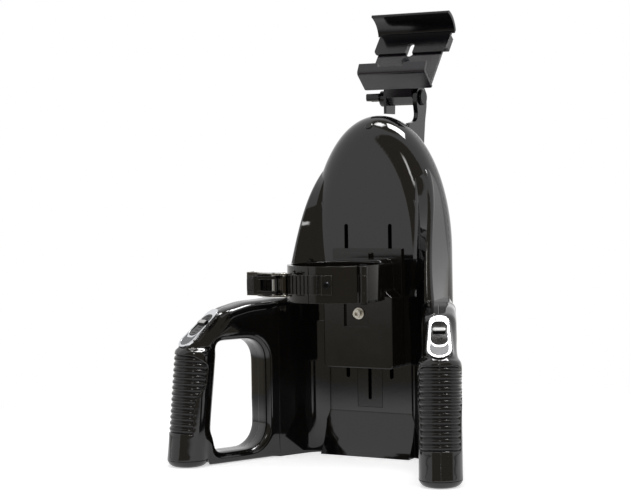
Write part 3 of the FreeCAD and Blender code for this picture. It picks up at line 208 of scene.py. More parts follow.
@dataclass(frozen=True)
class Finish:
    """A surface finish that every piece of one material shares, with sizes in millimetres.

    The colour runs to the tint in patches, where the gloss changes too. The grain is a fine bump,
    and a paler colour runs along the edges: partly rubbed wear, partly a painted highlight.
    """

    name: str
    colour: str
    tint: str
    roughness: float
    metallic: float = 0.0
    ior: float = 1.5
    grain_mm: float = 1.2
    grain_depth_mm: float = 0.01
    patch_mm: float = 35.0
    patch_gloss: float = 0.03
    edge_mm: float = 0.4
    # Share of a paler colour on the edges: partly wear, partly a painted edge highlight
    wear_and_edge_highlight: float = 0.0
    wear_and_edge_highlight_colour: str = "5a5a5c"

    def build(self) -> bpy.types.Material:
        """Make the material with its grain, patchy gloss, softened edges, and edge wear with a
        painted edge highlight.

        Returns:
            The finished material.
        """
        material = bpy.data.materials.new(self.name)
        material.use_nodes = True
        tree = material.node_tree
        tree.nodes.clear()
        place = add_node(tree, "ShaderNodeTexCoord")
        patches = add_node(tree, "ShaderNodeTexNoise",
                           {"Scale": 1.0 / (self.patch_mm * MM), **PATCH_NOISE},
                           {"Vector": place.outputs["Object"]})
        gloss = add_node(tree, "ShaderNodeMapRange",
                         {"From Min": PATCH_RANGE[0], "From Max": PATCH_RANGE[1],
                          "To Min": max(LOWEST_ROUGHNESS, self.roughness - self.patch_gloss),
                          "To Max": min(1.0, self.roughness + self.patch_gloss)},
                         {"Value": patches.outputs["Fac"]})
        grain = add_node(tree, "ShaderNodeTexNoise",
                         {"Scale": 1.0 / (self.grain_mm * MM), **GRAIN_NOISE},
                         {"Vector": place.outputs["Object"]})
        soft_edge = add_node(tree, "ShaderNodeBevel",
                             {"samples": BEVEL_SAMPLES, "Radius": self.edge_mm * MM})
        bump = add_node(tree, "ShaderNodeBump",
                        {"Strength": 1.0, "Distance": self.grain_depth_mm * MM},
                        {"Height": grain.outputs["Fac"], "Normal": soft_edge.outputs["Normal"]})
        colour = add_node(tree, "ShaderNodeMix",
                          {"data_type": "RGBA", 6: linear(self.colour), 7: linear(self.tint)},
                          {"Factor": patches.outputs["Fac"]})
        shown = colour.outputs[2]
        if self.wear_and_edge_highlight > 0.0:
            shown = self.worn_and_highlighted_edges(tree, soft_edge, grain, shown)
        shader = add_node(tree, "ShaderNodeBsdfPrincipled",
                          {"Metallic": self.metallic, "IOR": self.ior},
                          {"Base Color": shown, "Roughness": gloss.outputs["Result"],
                           "Normal": bump.outputs["Normal"]})
        out = add_node(tree, "ShaderNodeOutputMaterial")
        tree.links.new(shader.outputs["BSDF"], out.inputs["Surface"])
        return material

    def worn_and_highlighted_edges(self, tree: bpy.types.NodeTree, soft_edge: bpy.types.Node,
                   grain: bpy.types.Node, colour: bpy.types.NodeSocket) -> bpy.types.NodeSocket:
        """Turn the colour lighter where a face turns over an edge: rubbed wear, and a painted
        highlight.

        Args:
            tree: The material's nodes.
            soft_edge: Bevel node, whose normal leaves the face's own near an edge.
            grain: Noise that breaks the rubbed line up.
            colour: Colour of the untouched surface.

        Returns:
            The socket with the colour worn and painted lighter on the edges.
        """
        face = add_node(tree, "ShaderNodeNewGeometry")
        along = add_node(tree, "ShaderNodeVectorMath", {"operation": "DOT_PRODUCT"},
                         {0: soft_edge.outputs["Normal"], 1: face.outputs["Normal"]})
        # Painted highlight and wear: the paler colour grows as the softened normal leaves the face's
        # own
        edge = add_node(tree, "ShaderNodeMapRange",
                        {"From Min": RUBBED_AND_HIGHLIGHT_RANGE[0], "From Max": RUBBED_AND_HIGHLIGHT_RANGE[1],
                         "To Min": 0.0, "To Max": self.wear_and_edge_highlight}, {"Value": along.outputs["Value"]})
        broken = reckon(tree, "MULTIPLY", edge.outputs["Result"], grain.outputs["Fac"])
        worn_and_highlighted = add_node(tree, "ShaderNodeMix", {"data_type": "RGBA", 7: linear(self.wear_and_edge_highlight_colour)},
                        {"Factor": broken, 6: colour})
        return worn_and_highlighted.outputs[2]


class Material(Enum):
    """The finishes on the carrier, each after what the real surface is."""

    # High-gloss moulded ABS: near black, crisp reflections that waver a little (7 mm swell).
    GLOSS_ABS = Finish("gloss_black_abs", "0c0b0b", "100e0d", 0.05, ior=1.54, grain_mm=7.0,
                       grain_depth_mm=0.012, patch_gloss=0.015, edge_mm=0.5, wear_and_edge_highlight=0.25,
                       wear_and_edge_highlight_colour="2c2b2b")
    # Moulded ABS with a finer polish: the same black, reflections a little softer.
    SEMI_GLOSS_ABS = Finish("semi_gloss_black_abs", "0e0c0a", "14110e", 0.1, ior=1.48,
                            grain_mm=4.0, grain_depth_mm=0.01, edge_mm=0.6, wear_and_edge_highlight=0.5,
                            wear_and_edge_highlight_colour="45413c")
    # Glass-filled nylon from a spark-eroded mould: satin black with a faint violet cast.
    HOLDER_NYLON = Finish("satin_black_nylon", "151116", "1b161d", 0.24, ior=1.53, grain_mm=1.2,
                          grain_depth_mm=0.012, patch_gloss=0.04, edge_mm=0.5, wear_and_edge_highlight=0.4,
                          wear_and_edge_highlight_colour="4a444c")
    # The phone holder's sliding jaw and hinge: the same nylon, darker and smoother.
    JAW_NYLON = Finish("dark_smooth_nylon", "09080b", "0e0c10", 0.16, ior=1.46, grain_mm=1.6,
                       grain_depth_mm=0.01, patch_gloss=0.03, edge_mm=0.5, wear_and_edge_highlight=0.5,
                       wear_and_edge_highlight_colour="3c383e")
    # Unfilled nylon strap: slightly waxy black; the pale edges of its teeth are a painted highlight,
    # with some wear.
    STRAP_NYLON = Finish("waxy_black_nylon", "0a0909", "100f0e", 0.12, ior=1.46, grain_mm=1.4,
                         grain_depth_mm=0.01, edge_mm=0.6, wear_and_edge_highlight=1.2, wear_and_edge_highlight_colour="7c7976")
    # Finely grained switch cap: black, with a tight shine that the grain breaks up.
    ROCKER_ABS = Finish("textured_black_abs", "0a0a0b", "101011", 0.15, ior=1.46, grain_mm=0.9,
                        grain_depth_mm=0.012, patch_mm=9.0, edge_mm=0.3, wear_and_edge_highlight=0.4,
                        wear_and_edge_highlight_colour="3c3c3e")
    # Thermoplastic rubber grip: black with a crisp shine on the rib crests.
    GRIP_RUBBER = Finish("soft_grip_rubber", "090808", "0e0c0c", 0.12, ior=1.42, grain_mm=1.5,
                         grain_depth_mm=0.012, patch_mm=18.0, patch_gloss=0.04, edge_mm=0.4,
                         wear_and_edge_highlight=0.4, wear_and_edge_highlight_colour="3c3b3a")
    # Chromed plastic ring: bright, mirror-like, with a slight haze from handling.
    BRIGHT_CHROME = Finish("bright_chrome_trim", "dcdde0", "cfd1d4", 0.12, 1.0, grain_mm=3.0,
                           grain_depth_mm=0.003, patch_mm=12.0, patch_gloss=0.04, edge_mm=0.3)
    # Printed grey plate under the rocker: matt mid grey.
    GREY_LABEL = Finish("matt_grey_label", "77797c", "6a6b6f", 0.5, grain_mm=0.9,
                        grain_depth_mm=0.006, patch_mm=8.0, edge_mm=0.2)
    # Painted highlight: a white bar standing for the shine along the rocker's crossbar ridge.
    RIDGE_HIGHLIGHT_WHITE = Finish("painted_ridge_highlight", "d8d8d6", "cbcbc9", 0.35, grain_mm=0.8,
                         grain_depth_mm=0.004, patch_mm=6.0, edge_mm=0.1)
    # Zinc-plated steel: pale, slightly cloudy metal.
    ZINC_STEEL = Finish("zinc_plated_steel", "c9cbcd", "b4b6b9", 0.2, 1.0, grain_mm=1.0,
                        grain_depth_mm=0.006, patch_mm=6.0, patch_gloss=0.07, edge_mm=0.2)
    # Head of the clamp screw: the same zinc, blasted, so that it is bright from every side.
    BLASTED_ZINC = Finish("blasted_zinc_steel", "e6e2d8", "d6d2c8", 0.42, 1.0, grain_mm=0.8,
                          grain_depth_mm=0.006, patch_mm=5.0, patch_gloss=0.05, edge_mm=0.25)
    # Nickel-plated strip of the buckle: dark where it mirrors the room, its colour darkened as a
    # painted dark reflection, and its edges painted pale as a highlight.
    NICKEL_STEEL = Finish("nickel_plated_steel", "35322e", "423e39", 0.14, 1.0, grain_mm=1.4,
                          grain_depth_mm=0.004, patch_mm=5.0, patch_gloss=0.05, edge_mm=0.8,
                          wear_and_edge_highlight=1.8, wear_and_edge_highlight_colour="e6e0d4")
    # Blackened steel: dark grey metal, paler on its edges, partly from rubbing and partly as a
    # painted highlight.
    BLACK_STEEL = Finish("blackened_steel", "1c1d1f", "26272a", 0.25, 1.0, grain_mm=1.0,
                         grain_depth_mm=0.01, patch_mm=6.0, edge_mm=0.3, wear_and_edge_highlight=0.7,
                         wear_and_edge_highlight_colour="8a8c90")


class Workshop:
    """Builds each finish once and dresses pieces with it."""

    def __init__(self, frame: dict[str, Any]) -> None:
        """Keep the frame and start with no finish built."""
        self.nodes: dict[str, bpy.types.Object] = frame["nodes"]
        self.made: dict[Material, bpy.types.Material] = {}
        self.dressed: set[str] = set()

    def material(self, kind: Material) -> bpy.types.Material:
        """Give a finish's material, building it the first time.

        Args:
            kind: The finish.

        Returns:
            The shared Blender material.
        """
        if kind not in self.made:
            self.made[kind] = kind.value.build()
        return self.made[kind]

    def dress(self, kind: Material, names: Iterable[str]) -> None:
        """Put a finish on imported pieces.

        Args:
            kind: The finish.
            names: The pieces' node names.
        """
        material = self.material(kind)
        for name in names:
            slots = self.nodes[name].data.materials
            slots.clear()
            slots.append(material)
            self.dressed.add(name)
            LOG.info("%s wears %s", name, material.name)

    def check(self) -> None:
        """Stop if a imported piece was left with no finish."""
        bare = sorted(set(self.nodes) - self.dressed)
        if bare:
            raise ValueError(f"no finish on {bare}")


# Geometry Nodes that repeat a ridge along a path


class RidgeTree:
    """Node tree that stands rounded ridges across a path, evenly spaced."""

    # Radius of a ridge's round ends, as a share of its width, and the points on each round
    END_SHARE = 0.49
    END_POINTS = 4
    # Size of its crest, as a share of its foot
    CREST_SHARE = 0.7

    def __init__(self) -> None:
        """Build the tree with a named input for each size."""
        self.tree = bpy.data.node_groups.new("ridges_across_path", "GeometryNodeTree")
        face = self.tree.interface
        face.new_socket("Path", in_out="INPUT", socket_type="NodeSocketGeometry")
        face.new_socket("Count", in_out="INPUT", socket_type="NodeSocketInt")
        for name in ("Long", "Wide", "Rise"):
            face.new_socket(name, in_out="INPUT", socket_type="NodeSocketFloat")
        face.new_socket("Across", in_out="INPUT", socket_type="NodeSocketVector")
        face.new_socket("Finish", in_out="INPUT", socket_type="NodeSocketMaterial")
        face.new_socket("Ridges", in_out="OUTPUT", socket_type="NodeSocketGeometry")
        self.wire()

    def wire(self) -> None:
        """Join the nodes: one ridge, its stations along the path, and the finish."""
        tree = self.tree
        given = add_node(tree, "NodeGroupInput").outputs
        ridge = self.one_ridge(given)
        line = add_node(tree, "GeometryNodeMeshToCurve", links={"Mesh": given["Path"]})
        stations = add_node(tree, "GeometryNodeCurveToPoints", {"mode": "COUNT"},
                            {"Curve": line.outputs["Curve"], "Count": given["Count"]})
        outward = add_node(tree, "ShaderNodeVectorMath", {"operation": "CROSS_PRODUCT"},
                           {0: stations.outputs["Tangent"], 1: given["Across"]})
        upright = add_node(tree, "FunctionNodeAlignRotationToVector", {"axis": "Z"},
                           {"Vector": outward.outputs["Vector"]})
        turned = add_node(tree, "FunctionNodeAlignRotationToVector",
                          {"axis": "X", "pivot_axis": "Z"},
                          {"Rotation": upright.outputs["Rotation"], "Vector": given["Across"]})
        stood = add_node(tree, "GeometryNodeInstanceOnPoints",
                         links={"Points": stations.outputs["Points"], "Instance": ridge,
                                "Rotation": turned.outputs["Rotation"]})
        whole = add_node(tree, "GeometryNodeRealizeInstances",
                         links={"Geometry": stood.outputs["Instances"]})
        dressed = add_node(tree, "GeometryNodeSetMaterial",
                           links={"Geometry": whole.outputs["Geometry"],
                                  "Material": given["Finish"]})
        out = add_node(tree, "NodeGroupOutput")
        tree.links.new(dressed.outputs["Geometry"], out.inputs["Ridges"])

    def one_ridge(self, given: Any) -> bpy.types.NodeSocket:
        """Make a ridge with rounded ends, its foot on the path and closed all round.

        Args:
            given: Outputs of the group's input node.

        Returns:
            The socket with the ridge's mesh.
        """
        tree = self.tree
        plan = add_node(tree, "GeometryNodeCurvePrimitiveQuadrilateral", {"mode": "RECTANGLE"},
                        {"Width": given["Long"], "Height": given["Wide"]})
        half = add_node(tree, "ShaderNodeMath", {"operation": "MULTIPLY", 1: self.END_SHARE},
                        {0: given["Wide"]})
        ends = add_node(tree, "GeometryNodeFilletCurve",
                        {"mode": "POLY", "Count": self.END_POINTS},
                        {"Curve": plan.outputs["Curve"], "Radius": half.outputs["Value"]})
        foot = add_node(tree, "GeometryNodeFillCurve", {"mode": "NGONS"},
                        {"Curve": ends.outputs["Curve"]})
        raised = add_node(tree, "GeometryNodeExtrudeMesh", {"mode": "FACES"},
                          {"Mesh": foot.outputs["Mesh"], "Offset Scale": given["Rise"]})
        crest = add_node(tree, "GeometryNodeScaleElements",
                         {"domain": "FACE", "Scale": self.CREST_SHARE},
                         {"Geometry": raised.outputs["Mesh"], "Selection": raised.outputs["Top"]})
        sole = add_node(tree, "GeometryNodeFlipFaces", links={"Mesh": foot.outputs["Mesh"]})
        both = add_node(tree, "GeometryNodeJoinGeometry")
        for part in (sole.outputs["Mesh"], crest.outputs["Geometry"]):
            tree.links.new(part, both.inputs["Geometry"])
        closed = add_node(tree, "GeometryNodeMergeByDistance", {"Distance": WELD_MM * MM},
                          {"Geometry": both.outputs["Geometry"]})
        return closed.outputs["Geometry"]

    def lay(self, name: str, paths: Sequence[Sequence[Vector]], values: dict[str, Any],
            closed: bool = False) -> bpy.types.Object:
        """Lay ridges across one or more paths and turn them into a plain mesh.

        Args:
            name: Name of the new piece.
            paths: Points of each path, on the surface that carries the ridges.
            values: The tree's inputs by name.
            closed: Whether each path comes back to its start.

        Returns:
            The new piece.
        """
        points: list[Vector] = []
        edges: list[tuple[int, int]] = []
        for path in paths:
            first = len(points)
            points += path
            edges += [(first + step, first + step + 1) for step in range(len(path) - 1)]
            if closed:
                edges.append((len(points) - 1, first))
        mesh = bpy.data.meshes.new(name + "_path")
        mesh.from_pydata(points, edges, [])
        guide = put(name + "_path", mesh)
        modifier = guide.modifiers.new("ridges", "NODES")
        modifier.node_group = self.tree
        for item in self.tree.interface.items_tree:
            if item.name in values:
                modifier[item.identifier] = values[item.name]
        made = plain_mesh(guide)
        bpy.data.objects.remove(guide)
        made.name = name
        return put(name, made)


# Sub-assemblies


def across_of(frame: Matrix) -> Vector:
    """Give the direction of a frame's Y axis.

    Args:
        frame: The frame.

    Returns:
        The direction, one unit long.
    """
    return (frame.to_3x3() @ Vector((0.0, 1.0, 0.0))).normalized()


@dataclass
class SubAssembly:
    """One group of pieces with its finishes; a subclass adds its own detail."""

    shop: Workshop
    finishes: dict[Material, tuple[str, ...]] = field(default_factory=dict)

    def build(self, ridges: RidgeTree) -> None:
        """Add no piece unless the sub-assembly has detail of its own."""

    def dress(self) -> None:
        """Put the sub-assembly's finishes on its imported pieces."""
        for kind, names in self.finishes.items():
            self.shop.dress(kind, names)

    def add_ridges(self, ridges: RidgeTree, name: str, paths: Sequence[Sequence[Vector]],
                   count: int, size_mm: Point, across: Vector, kind: Material,
                   body: str, slot: str, closed: bool = False) -> None:
        """Lay a row of ridges and let it move with its body.

        Args:
            ridges: The shared node tree.
            name: Name of the new piece.
            paths: Paths on the carrying surface, in metres.
            count: Ridges along each path.
            size_mm: Length, width and rise of a ridge in millimetres.
            across: Direction of a ridge's length.
            kind: Finish of the ridges.
            body: CAD body that carries them.
            slot: Material slot of the record; not used.
            closed: Whether the paths are closed.
        """
        long, wide, rise = (size * MM for size in size_mm)
        piece = ridges.lay(name, paths, {"Count": count, "Long": long, "Wide": wide, "Rise": rise,
                                         "Across": tuple(across),
                                         "Finish": self.shop.material(kind)}, closed)
        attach(piece, body)
        LOG.info("%s rides on %s with %d faces", name, body, len(piece.data.polygons))


@dataclass
class Shell(SubAssembly):
    """Front and back shell, inset slot plate and apex plug."""

    finishes: dict[Material, tuple[str, ...]] = field(default_factory=lambda: {
        Material.GLOSS_ABS: ("front_shell", "back_shell"),
        Material.SEMI_GLOSS_ABS: ("slot_plate", "apex_plug"),
        Material.ZINC_STEEL: ("shell_screws",)})


@dataclass
class Handle(SubAssembly):
    """One D-handle with its rubber grip and thumb rocker, in millimetres and degrees.

    The seam, swing, pod and lean are those of the CAD's handle and pod. The dish is the hollow
    face of the rocker, a parabola down the thumb's slope.
    """

    hand: str = "right"
    side: int = 1
    seam: Pair = (94.9, -36.9)
    swing: float = 24.6
    pod: Pair = (95.0, 139.0)
    lean: float = 39.6
    rocker_shift: float = -4.0
    dish_floor: float = 0.85
    dish_rise: float = 2.4
    dish_reach: float = 20.0
    dish_steps: int = 6
    ridge_mm: Point = (7.0, 0.9, 0.55)
    ridge_count: int = 3
    ridge_ends: tuple[Pair, ...] = ((-12.6, -8.4), (2.6, 11.4))
    # Size, span and level of the white bar painted as the highlight on the rocker's ridge
    highlight_bar_mm: Point = (13.0, 4.4, 0.4)
    highlight_bar_span: Pair = (-3.6, -3.5)
    highlight_bar_level: float = 3.5

    def __post_init__(self) -> None:
        """Name the finishes of this hand's pieces."""
        kinds = {
            Material.GLOSS_ABS: ("handle_inner", "handle_outer", "end_cap"),
            Material.GRIP_RUBBER: ("grip_pad",),
            Material.BRIGHT_CHROME: ("bezel",),
            Material.GREY_LABEL: ("label_plate",),
            Material.ROCKER_ABS: ("rocker", "switch"),
            Material.ZINC_STEEL: ("handle_screws", "rocker_pin", "spring")}
        self.finishes = {kind: tuple(f"{self.hand}_{name}" for name in names)
                         for kind, names in kinds.items()}

    def seam_frame(self) -> Matrix:
        """Give the frame at the shell's seam: X out along the handle, Y across its parting plane.

        Returns:
            The frame in millimetres.
        """
        turn = math.radians(self.swing * self.side - QUARTER_TURN)
        return (Matrix.Translation((self.side * self.seam[0], self.seam[1], 0.0))
                @ Matrix.Rotation(turn, 4, "Z"))

    def rocker_frame(self) -> Matrix:
        """Give the frame on the rocker: X down the thumb's slope, Z out of the face.

        Returns:
            The frame in millimetres.
        """
        return (self.seam_frame()
                @ Matrix.Translation((self.pod[0], 0.0, self.pod[1]))
                @ Matrix.Rotation(math.radians(self.lean), 4, "Y")
                @ Matrix.Translation((self.rocker_shift, 0.0, 0.0)))

    def on_dish(self, along: float) -> Vector:
        """Give a point just under the rocker's dished face, in the rocker's frame.

        Args:
            along: Distance down the thumb's slope.

        Returns:
            The point in millimetres.
        """
        level = self.dish_floor + self.dish_rise * (along / self.dish_reach) ** 2
        return Vector((along, 0.0, level))

    def build(self, ridges: RidgeTree) -> None:
        """Add the rocker's thumb ridges, a white bar painted as the highlight on its ridge, and the
        rounded form of the handle.
        """
        place = self.rocker_frame()
        across = across_of(place)
        paths = [[place @ self.on_dish(first + (last - first) * step / self.dish_steps) * MM
                  for step in range(self.dish_steps + 1)] for first, last in self.ridge_ends]
        self.add_ridges(ridges, f"{self.hand}_thumb_ridges", paths, self.ridge_count,
                        self.ridge_mm, across, Material.ROCKER_ABS, f"{self.hand}_rocker",
                        "switch_black")
        # Painted highlight: a thin white bar across the rocker, where its ridge shines
        index = [[place @ Vector((along, 0.0, self.highlight_bar_level)) * MM
                  for along in self.highlight_bar_span]]
        self.add_ridges(ridges, f"{self.hand}_rocker_highlight_bar", index, 1, self.highlight_bar_mm, across,
                        Material.RIDGE_HIGHLIGHT_WHITE, f"{self.hand}_rocker", "label_grey")
        HandleForm(self).build()


@dataclass
class HandleForm:
    """Moulded form of a D-handle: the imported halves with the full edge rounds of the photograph.

    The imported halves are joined, rounded where no other piece seats on them, and cut apart again
    at their parting plane. Within the first clear distance of a seated piece the form stays as it
    is, and beyond the second it is fully relaxed. Each half starts at the parting distance from
    the plane. Sizes are in millimetres.
    """

    handle: Handle
    voxel: float = 0.9
    relaxing: float = 0.5
    passes: int = 150
    clear: Pair = (1.0, 7.0)
    parting: float = 0.1
    halves: tuple[str, ...] = ("inner", "outer")
    seated: tuple[str, ...] = ("bezel", "label_plate", "rocker", "grip_pad", "end_cap",
                               "handle_screws")
    shells: tuple[str, ...] = ("front_shell", "back_shell")

    def build(self) -> None:
        """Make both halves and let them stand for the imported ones."""
        hand = self.handle.hand
        packed = {half: self.handle.shop.nodes[f"{hand}_handle_{half}"] for half in self.halves}
        whole = self.joined(packed.values())
        self.round_edges(whole)
        plane = self.handle.seam_frame()
        middle = plane.translation * MM
        across = across_of(plane)
        for half, node in packed.items():
            corners = [Vector(corner) for corner in node.bound_box]
            centre = sum(corners, Vector()) / len(corners)
            sign = 1.0 if (centre - middle).dot(across) > 0.0 else -1.0
            piece = self.half_of(whole, f"{hand}_{half}_half_form", middle, across * sign)
            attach(piece, "shell")
            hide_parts(node.name)
            LOG.info("%s replaces %s with %d faces", piece.name, node.name,
                     len(piece.data.polygons))
        bpy.data.objects.remove(whole)

    def joined(self, halves: Iterable[bpy.types.Object]) -> bpy.types.Object:
        """Join copies of the halves into one skin of even quads.

        Args:
            halves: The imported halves.

        Returns:
            The joined form.
        """
        form = bmesh.new()
        for half in halves:
            form.from_mesh(half.data)
        bmesh.ops.remove_doubles(form, verts=form.verts, dist=WELD_MM * MM)
        mesh = bpy.data.meshes.new("handle_form")
        form.to_mesh(mesh)
        form.free()
        whole = put("handle_form", mesh)
        skin = whole.modifiers.new("skin", "REMESH")
        skin.mode = "VOXEL"
        skin.voxel_size = self.voxel * MM
        even = plain_mesh(whole)
        whole.modifiers.clear()
        whole.data = even
        return whole

    def round_edges(self, whole: bpy.types.Object) -> None:
        """Relax the skin, less and less towards each piece that seats on it.

        Args:
            whole: The joined form.
        """
        nodes = self.handle.shop.nodes
        names = [f"{self.handle.hand}_{name}" for name in self.seated]
        seats = [BVHTree.FromPolygons([vertex.co for vertex in nodes[name].data.vertices],
                                      [face.vertices for face in nodes[name].data.polygons])
                 for name in (*names, *self.shells)]
        near, far = (size * MM for size in self.clear)
        group = whole.vertex_groups.new(name="free")
        for vertex in whole.data.vertices:
            gaps = (seat.find_nearest(vertex.co, far)[3] for seat in seats)
            gap = min((gap for gap in gaps if gap is not None), default=far)
            share = min(1.0, max(0.0, (gap - near) / (far - near)))
            group.add([vertex.index], share, "REPLACE")
        relax = whole.modifiers.new("relax", "SMOOTH")
        relax.factor = self.relaxing
        relax.iterations = self.passes
        relax.vertex_group = group.name
        round_skin = plain_mesh(whole)
        whole.modifiers.clear()
        whole.data = round_skin

    def half_of(self, whole: bpy.types.Object, name: str, middle: Vector,
                outward: Vector) -> bpy.types.Object:
        """Cut one half off at the parting plane and close it.

        Args:
            whole: The joined form.
            name: Name of the new piece.
            middle: Point on the parting plane, in metres.
            outward: Direction from the plane into the half.

        Returns:
            The half.
        """
        form = bmesh.new()
        form.from_mesh(whole.data)
        # The foot stays on the ground, where the remeshed skin can dip below it by a hair
        for vertex in form.verts:
            vertex.co.z = max(vertex.co.z, 0.0)
        cut = bmesh.ops.bisect_plane(form, geom=form.verts[:] + form.edges[:] + form.faces[:],
                                     plane_co=middle + outward * self.parting * MM,
                                     plane_no=-outward, clear_outer=True)
        rim = [item for item in cut["geom_cut"] if isinstance(item, bmesh.types.BMEdge)]
        bmesh.ops.triangle_fill(form, edges=rim, use_beauty=False)
        bmesh.ops.recalc_face_normals(form, faces=form.faces)
        mesh = bpy.data.meshes.new(name)
        form.to_mesh(mesh)
        form.free()
        piece = put(name, mesh)
        mesh.materials.append(self.handle.shop.material(Material.GLOSS_ABS))
        for face in mesh.polygons:
            face.use_smooth = True
        return piece


@dataclass
class SlideBracket(SubAssembly):
    """Height-adjustable bracket with its clamp screw, whose head is knurled."""

    finishes: dict[Material, tuple[str, ...]] = field(default_factory=lambda: {
        Material.SEMI_GLOSS_ABS: ("bracket", "slide_guides"),
        Material.BLASTED_ZINC: ("clamp_screw", "clamp_washer"),
        Material.ZINC_STEEL: ("clamp_nut", "guide_screws"),
        Material.BLACK_STEEL: ("hinge_pin",)})
    head_round: float = 4.15
    head_middle: Pair = (-30.6, 150.7)
    ring_steps: int = 72
    flutes: int = 36
    flute_mm: Point = (3.4, 0.42, 0.22)

    def build(self, ridges: RidgeTree) -> None:
        """Add the straight knurl round the clamp screw's head."""
        level, height = self.head_middle
        turns = [math.tau * step / self.ring_steps for step in range(self.ring_steps)]
        ring = [Vector((self.head_round * math.cos(turn), level,
                        height + self.head_round * math.sin(turn))) * MM for turn in turns]
        self.add_ridges(ridges, "clamp_screw_knurl", [ring], self.flutes, self.flute_mm,
                        Vector((0.0, 1.0, 0.0)), Material.BLASTED_ZINC, "bracket", "steel", True)


@dataclass
class Collar(SubAssembly):
    """Hinged gate with its toothed ladder strap."""

    finishes: dict[Material, tuple[str, ...]] = field(default_factory=lambda: {
        Material.SEMI_GLOSS_ABS: ("gate",),
        Material.STRAP_NYLON: ("ladder_strap",),
        Material.BLACK_STEEL: ("strap_rivet",)})


@dataclass
class Buckle(SubAssembly):
    """Ratchet buckle; its lever ends in a serrated finger grip."""

    finishes: dict[Material, tuple[str, ...]] = field(default_factory=lambda: {
        Material.NICKEL_STEEL: ("buckle_frame", "pawl"),
        Material.ZINC_STEEL: ("lever_pin", "pawl_pin"),
        Material.STRAP_NYLON: ("buckle_lever",)})
    grip_start: Pair = (-59.6, -141.85)
    grip_end: Pair = (-66.0, -140.65)
    middle: float = 186.5
    ridge_count: int = 6
    ridge_mm: Point = (15.6, 0.6, 0.5)

    def build(self, ridges: RidgeTree) -> None:
        """Add the serrations across the lever's finger grip."""
        path = [Vector((x, y, self.middle)) * MM for x, y in (self.grip_end, self.grip_start)]
        self.add_ridges(ridges, "lever_serrations", [path], self.ridge_count, self.ridge_mm,
                        Vector((0.0, 0.0, 1.0)), Material.STRAP_NYLON, "lever", "satin_black")


@dataclass
class PhoneHolder(SubAssembly):
    """Tilting phone holder on its arm."""

    finishes: dict[Material, tuple[str, ...]] = field(default_factory=lambda: {
        Material.HOLDER_NYLON: ("holder_base",),
        Material.JAW_NYLON: ("phone_arm", "clamp_cheek", "upper_jaw", "tilt_knob"),
        Material.BLACK_STEEL: ("arm_screws", "tilt_bolt", "plate_bolt", "plate_nut")})


# Studio

# Cycles spreads an area lamp's watts over four times its area
WATTS_PER_AREA = 4.0
# A lamp's surface runs from 0 to 1 both ways
LAMP_MIDDLE = 0.5


@dataclass
class Camera:
    """The photograph's camera, solved from landmarks of the object, in metres and degrees."""

    place: Point = (0.8016, -1.5889, 0.2948)
    azimuth: float = 28.62
    pitch: float = 2.47
    roll: float = -0.87
    focal_pixels: float = 1700.3
    photo_pixels: float = 630.0
    sensor_mm: float = 36.0

    def build(self) -> None:
        """Make the camera and give it to the scene."""
        data = bpy.data.cameras.new("photo_camera")
        data.sensor_width = self.sensor_mm
        data.lens = self.sensor_mm * (self.focal_pixels / self.photo_pixels)
        camera = put("photo_camera", data)
        turn, tilt, roll = (math.radians(angle)
                            for angle in (self.azimuth, self.pitch, self.roll))
        back = Vector((math.sin(turn) * math.cos(tilt), -math.cos(turn) * math.cos(tilt),
                       math.sin(tilt)))
        level = Vector((math.cos(turn), math.sin(turn), 0.0))
        rise = back.cross(level)
        right = level * math.cos(roll) + rise * math.sin(roll)
        up = rise * math.cos(roll) - level * math.sin(roll)
        camera.matrix_world = Matrix((
            (right.x, up.x, back.x, self.place[0]),
            (right.y, up.y, back.y, self.place[1]),
            (right.z, up.z, back.z, self.place[2]),
            (0.0, 0.0, 0.0, 1.0)))
        bpy.context.scene.camera = camera


class Reach(Enum):
    """What a softbox does to the object."""

    GLOSS = "shows in gloss only"
    MATT = "lights surfaces only"


@dataclass(frozen=True)
class Softbox:
    """A rectangular lamp whose glow fades towards its rim, in metres."""

    name: str
    place: Point
    aim: Point
    size: Pair
    radiance: float
    rim: float
    reach: Reach

    def build(self) -> None:
        """Make the lamp, turn it to its aim and soften its rim."""
        data = bpy.data.lights.new(self.name, "AREA")
        data.shape = "RECTANGLE"
        data.size, data.size_y = self.size
        data.energy = WATTS_PER_AREA * self.size[0] * self.size[1] * self.radiance
        data.use_nodes = True
        tree = data.node_tree
        tree.nodes.clear()
        across = add_node(tree, "ShaderNodeNewGeometry")
        parts = add_node(tree, "ShaderNodeSeparateXYZ", links={0: across.outputs["Parametric"]})
        fades = []
        for axis in ("X", "Y"):
            inward = add_node(tree, "ShaderNodeMath", {"operation": "PINGPONG", 1: LAMP_MIDDLE},
                              {0: parts.outputs[axis]})
            fades.append(smooth_step(tree, (0.0, self.rim), inward.outputs["Value"]))
        glow = reckon(tree, "MULTIPLY", *fades)
        emit = add_node(tree, "ShaderNodeEmission", links={"Strength": glow})
        out = add_node(tree, "ShaderNodeOutputLight")
        tree.links.new(emit.outputs["Emission"], out.inputs["Surface"])
        lamp = put(self.name, data)
        lamp.location = self.place
        lamp.rotation_mode = "QUATERNION"
        towards = Vector(self.aim) - Vector(self.place)
        lamp.rotation_quaternion = towards.to_track_quat("-Z", "Y")
        lamp.visible_camera = False
        lamp.visible_glossy = self.reach is Reach.GLOSS
        lamp.visible_diffuse = self.reach is Reach.MATT


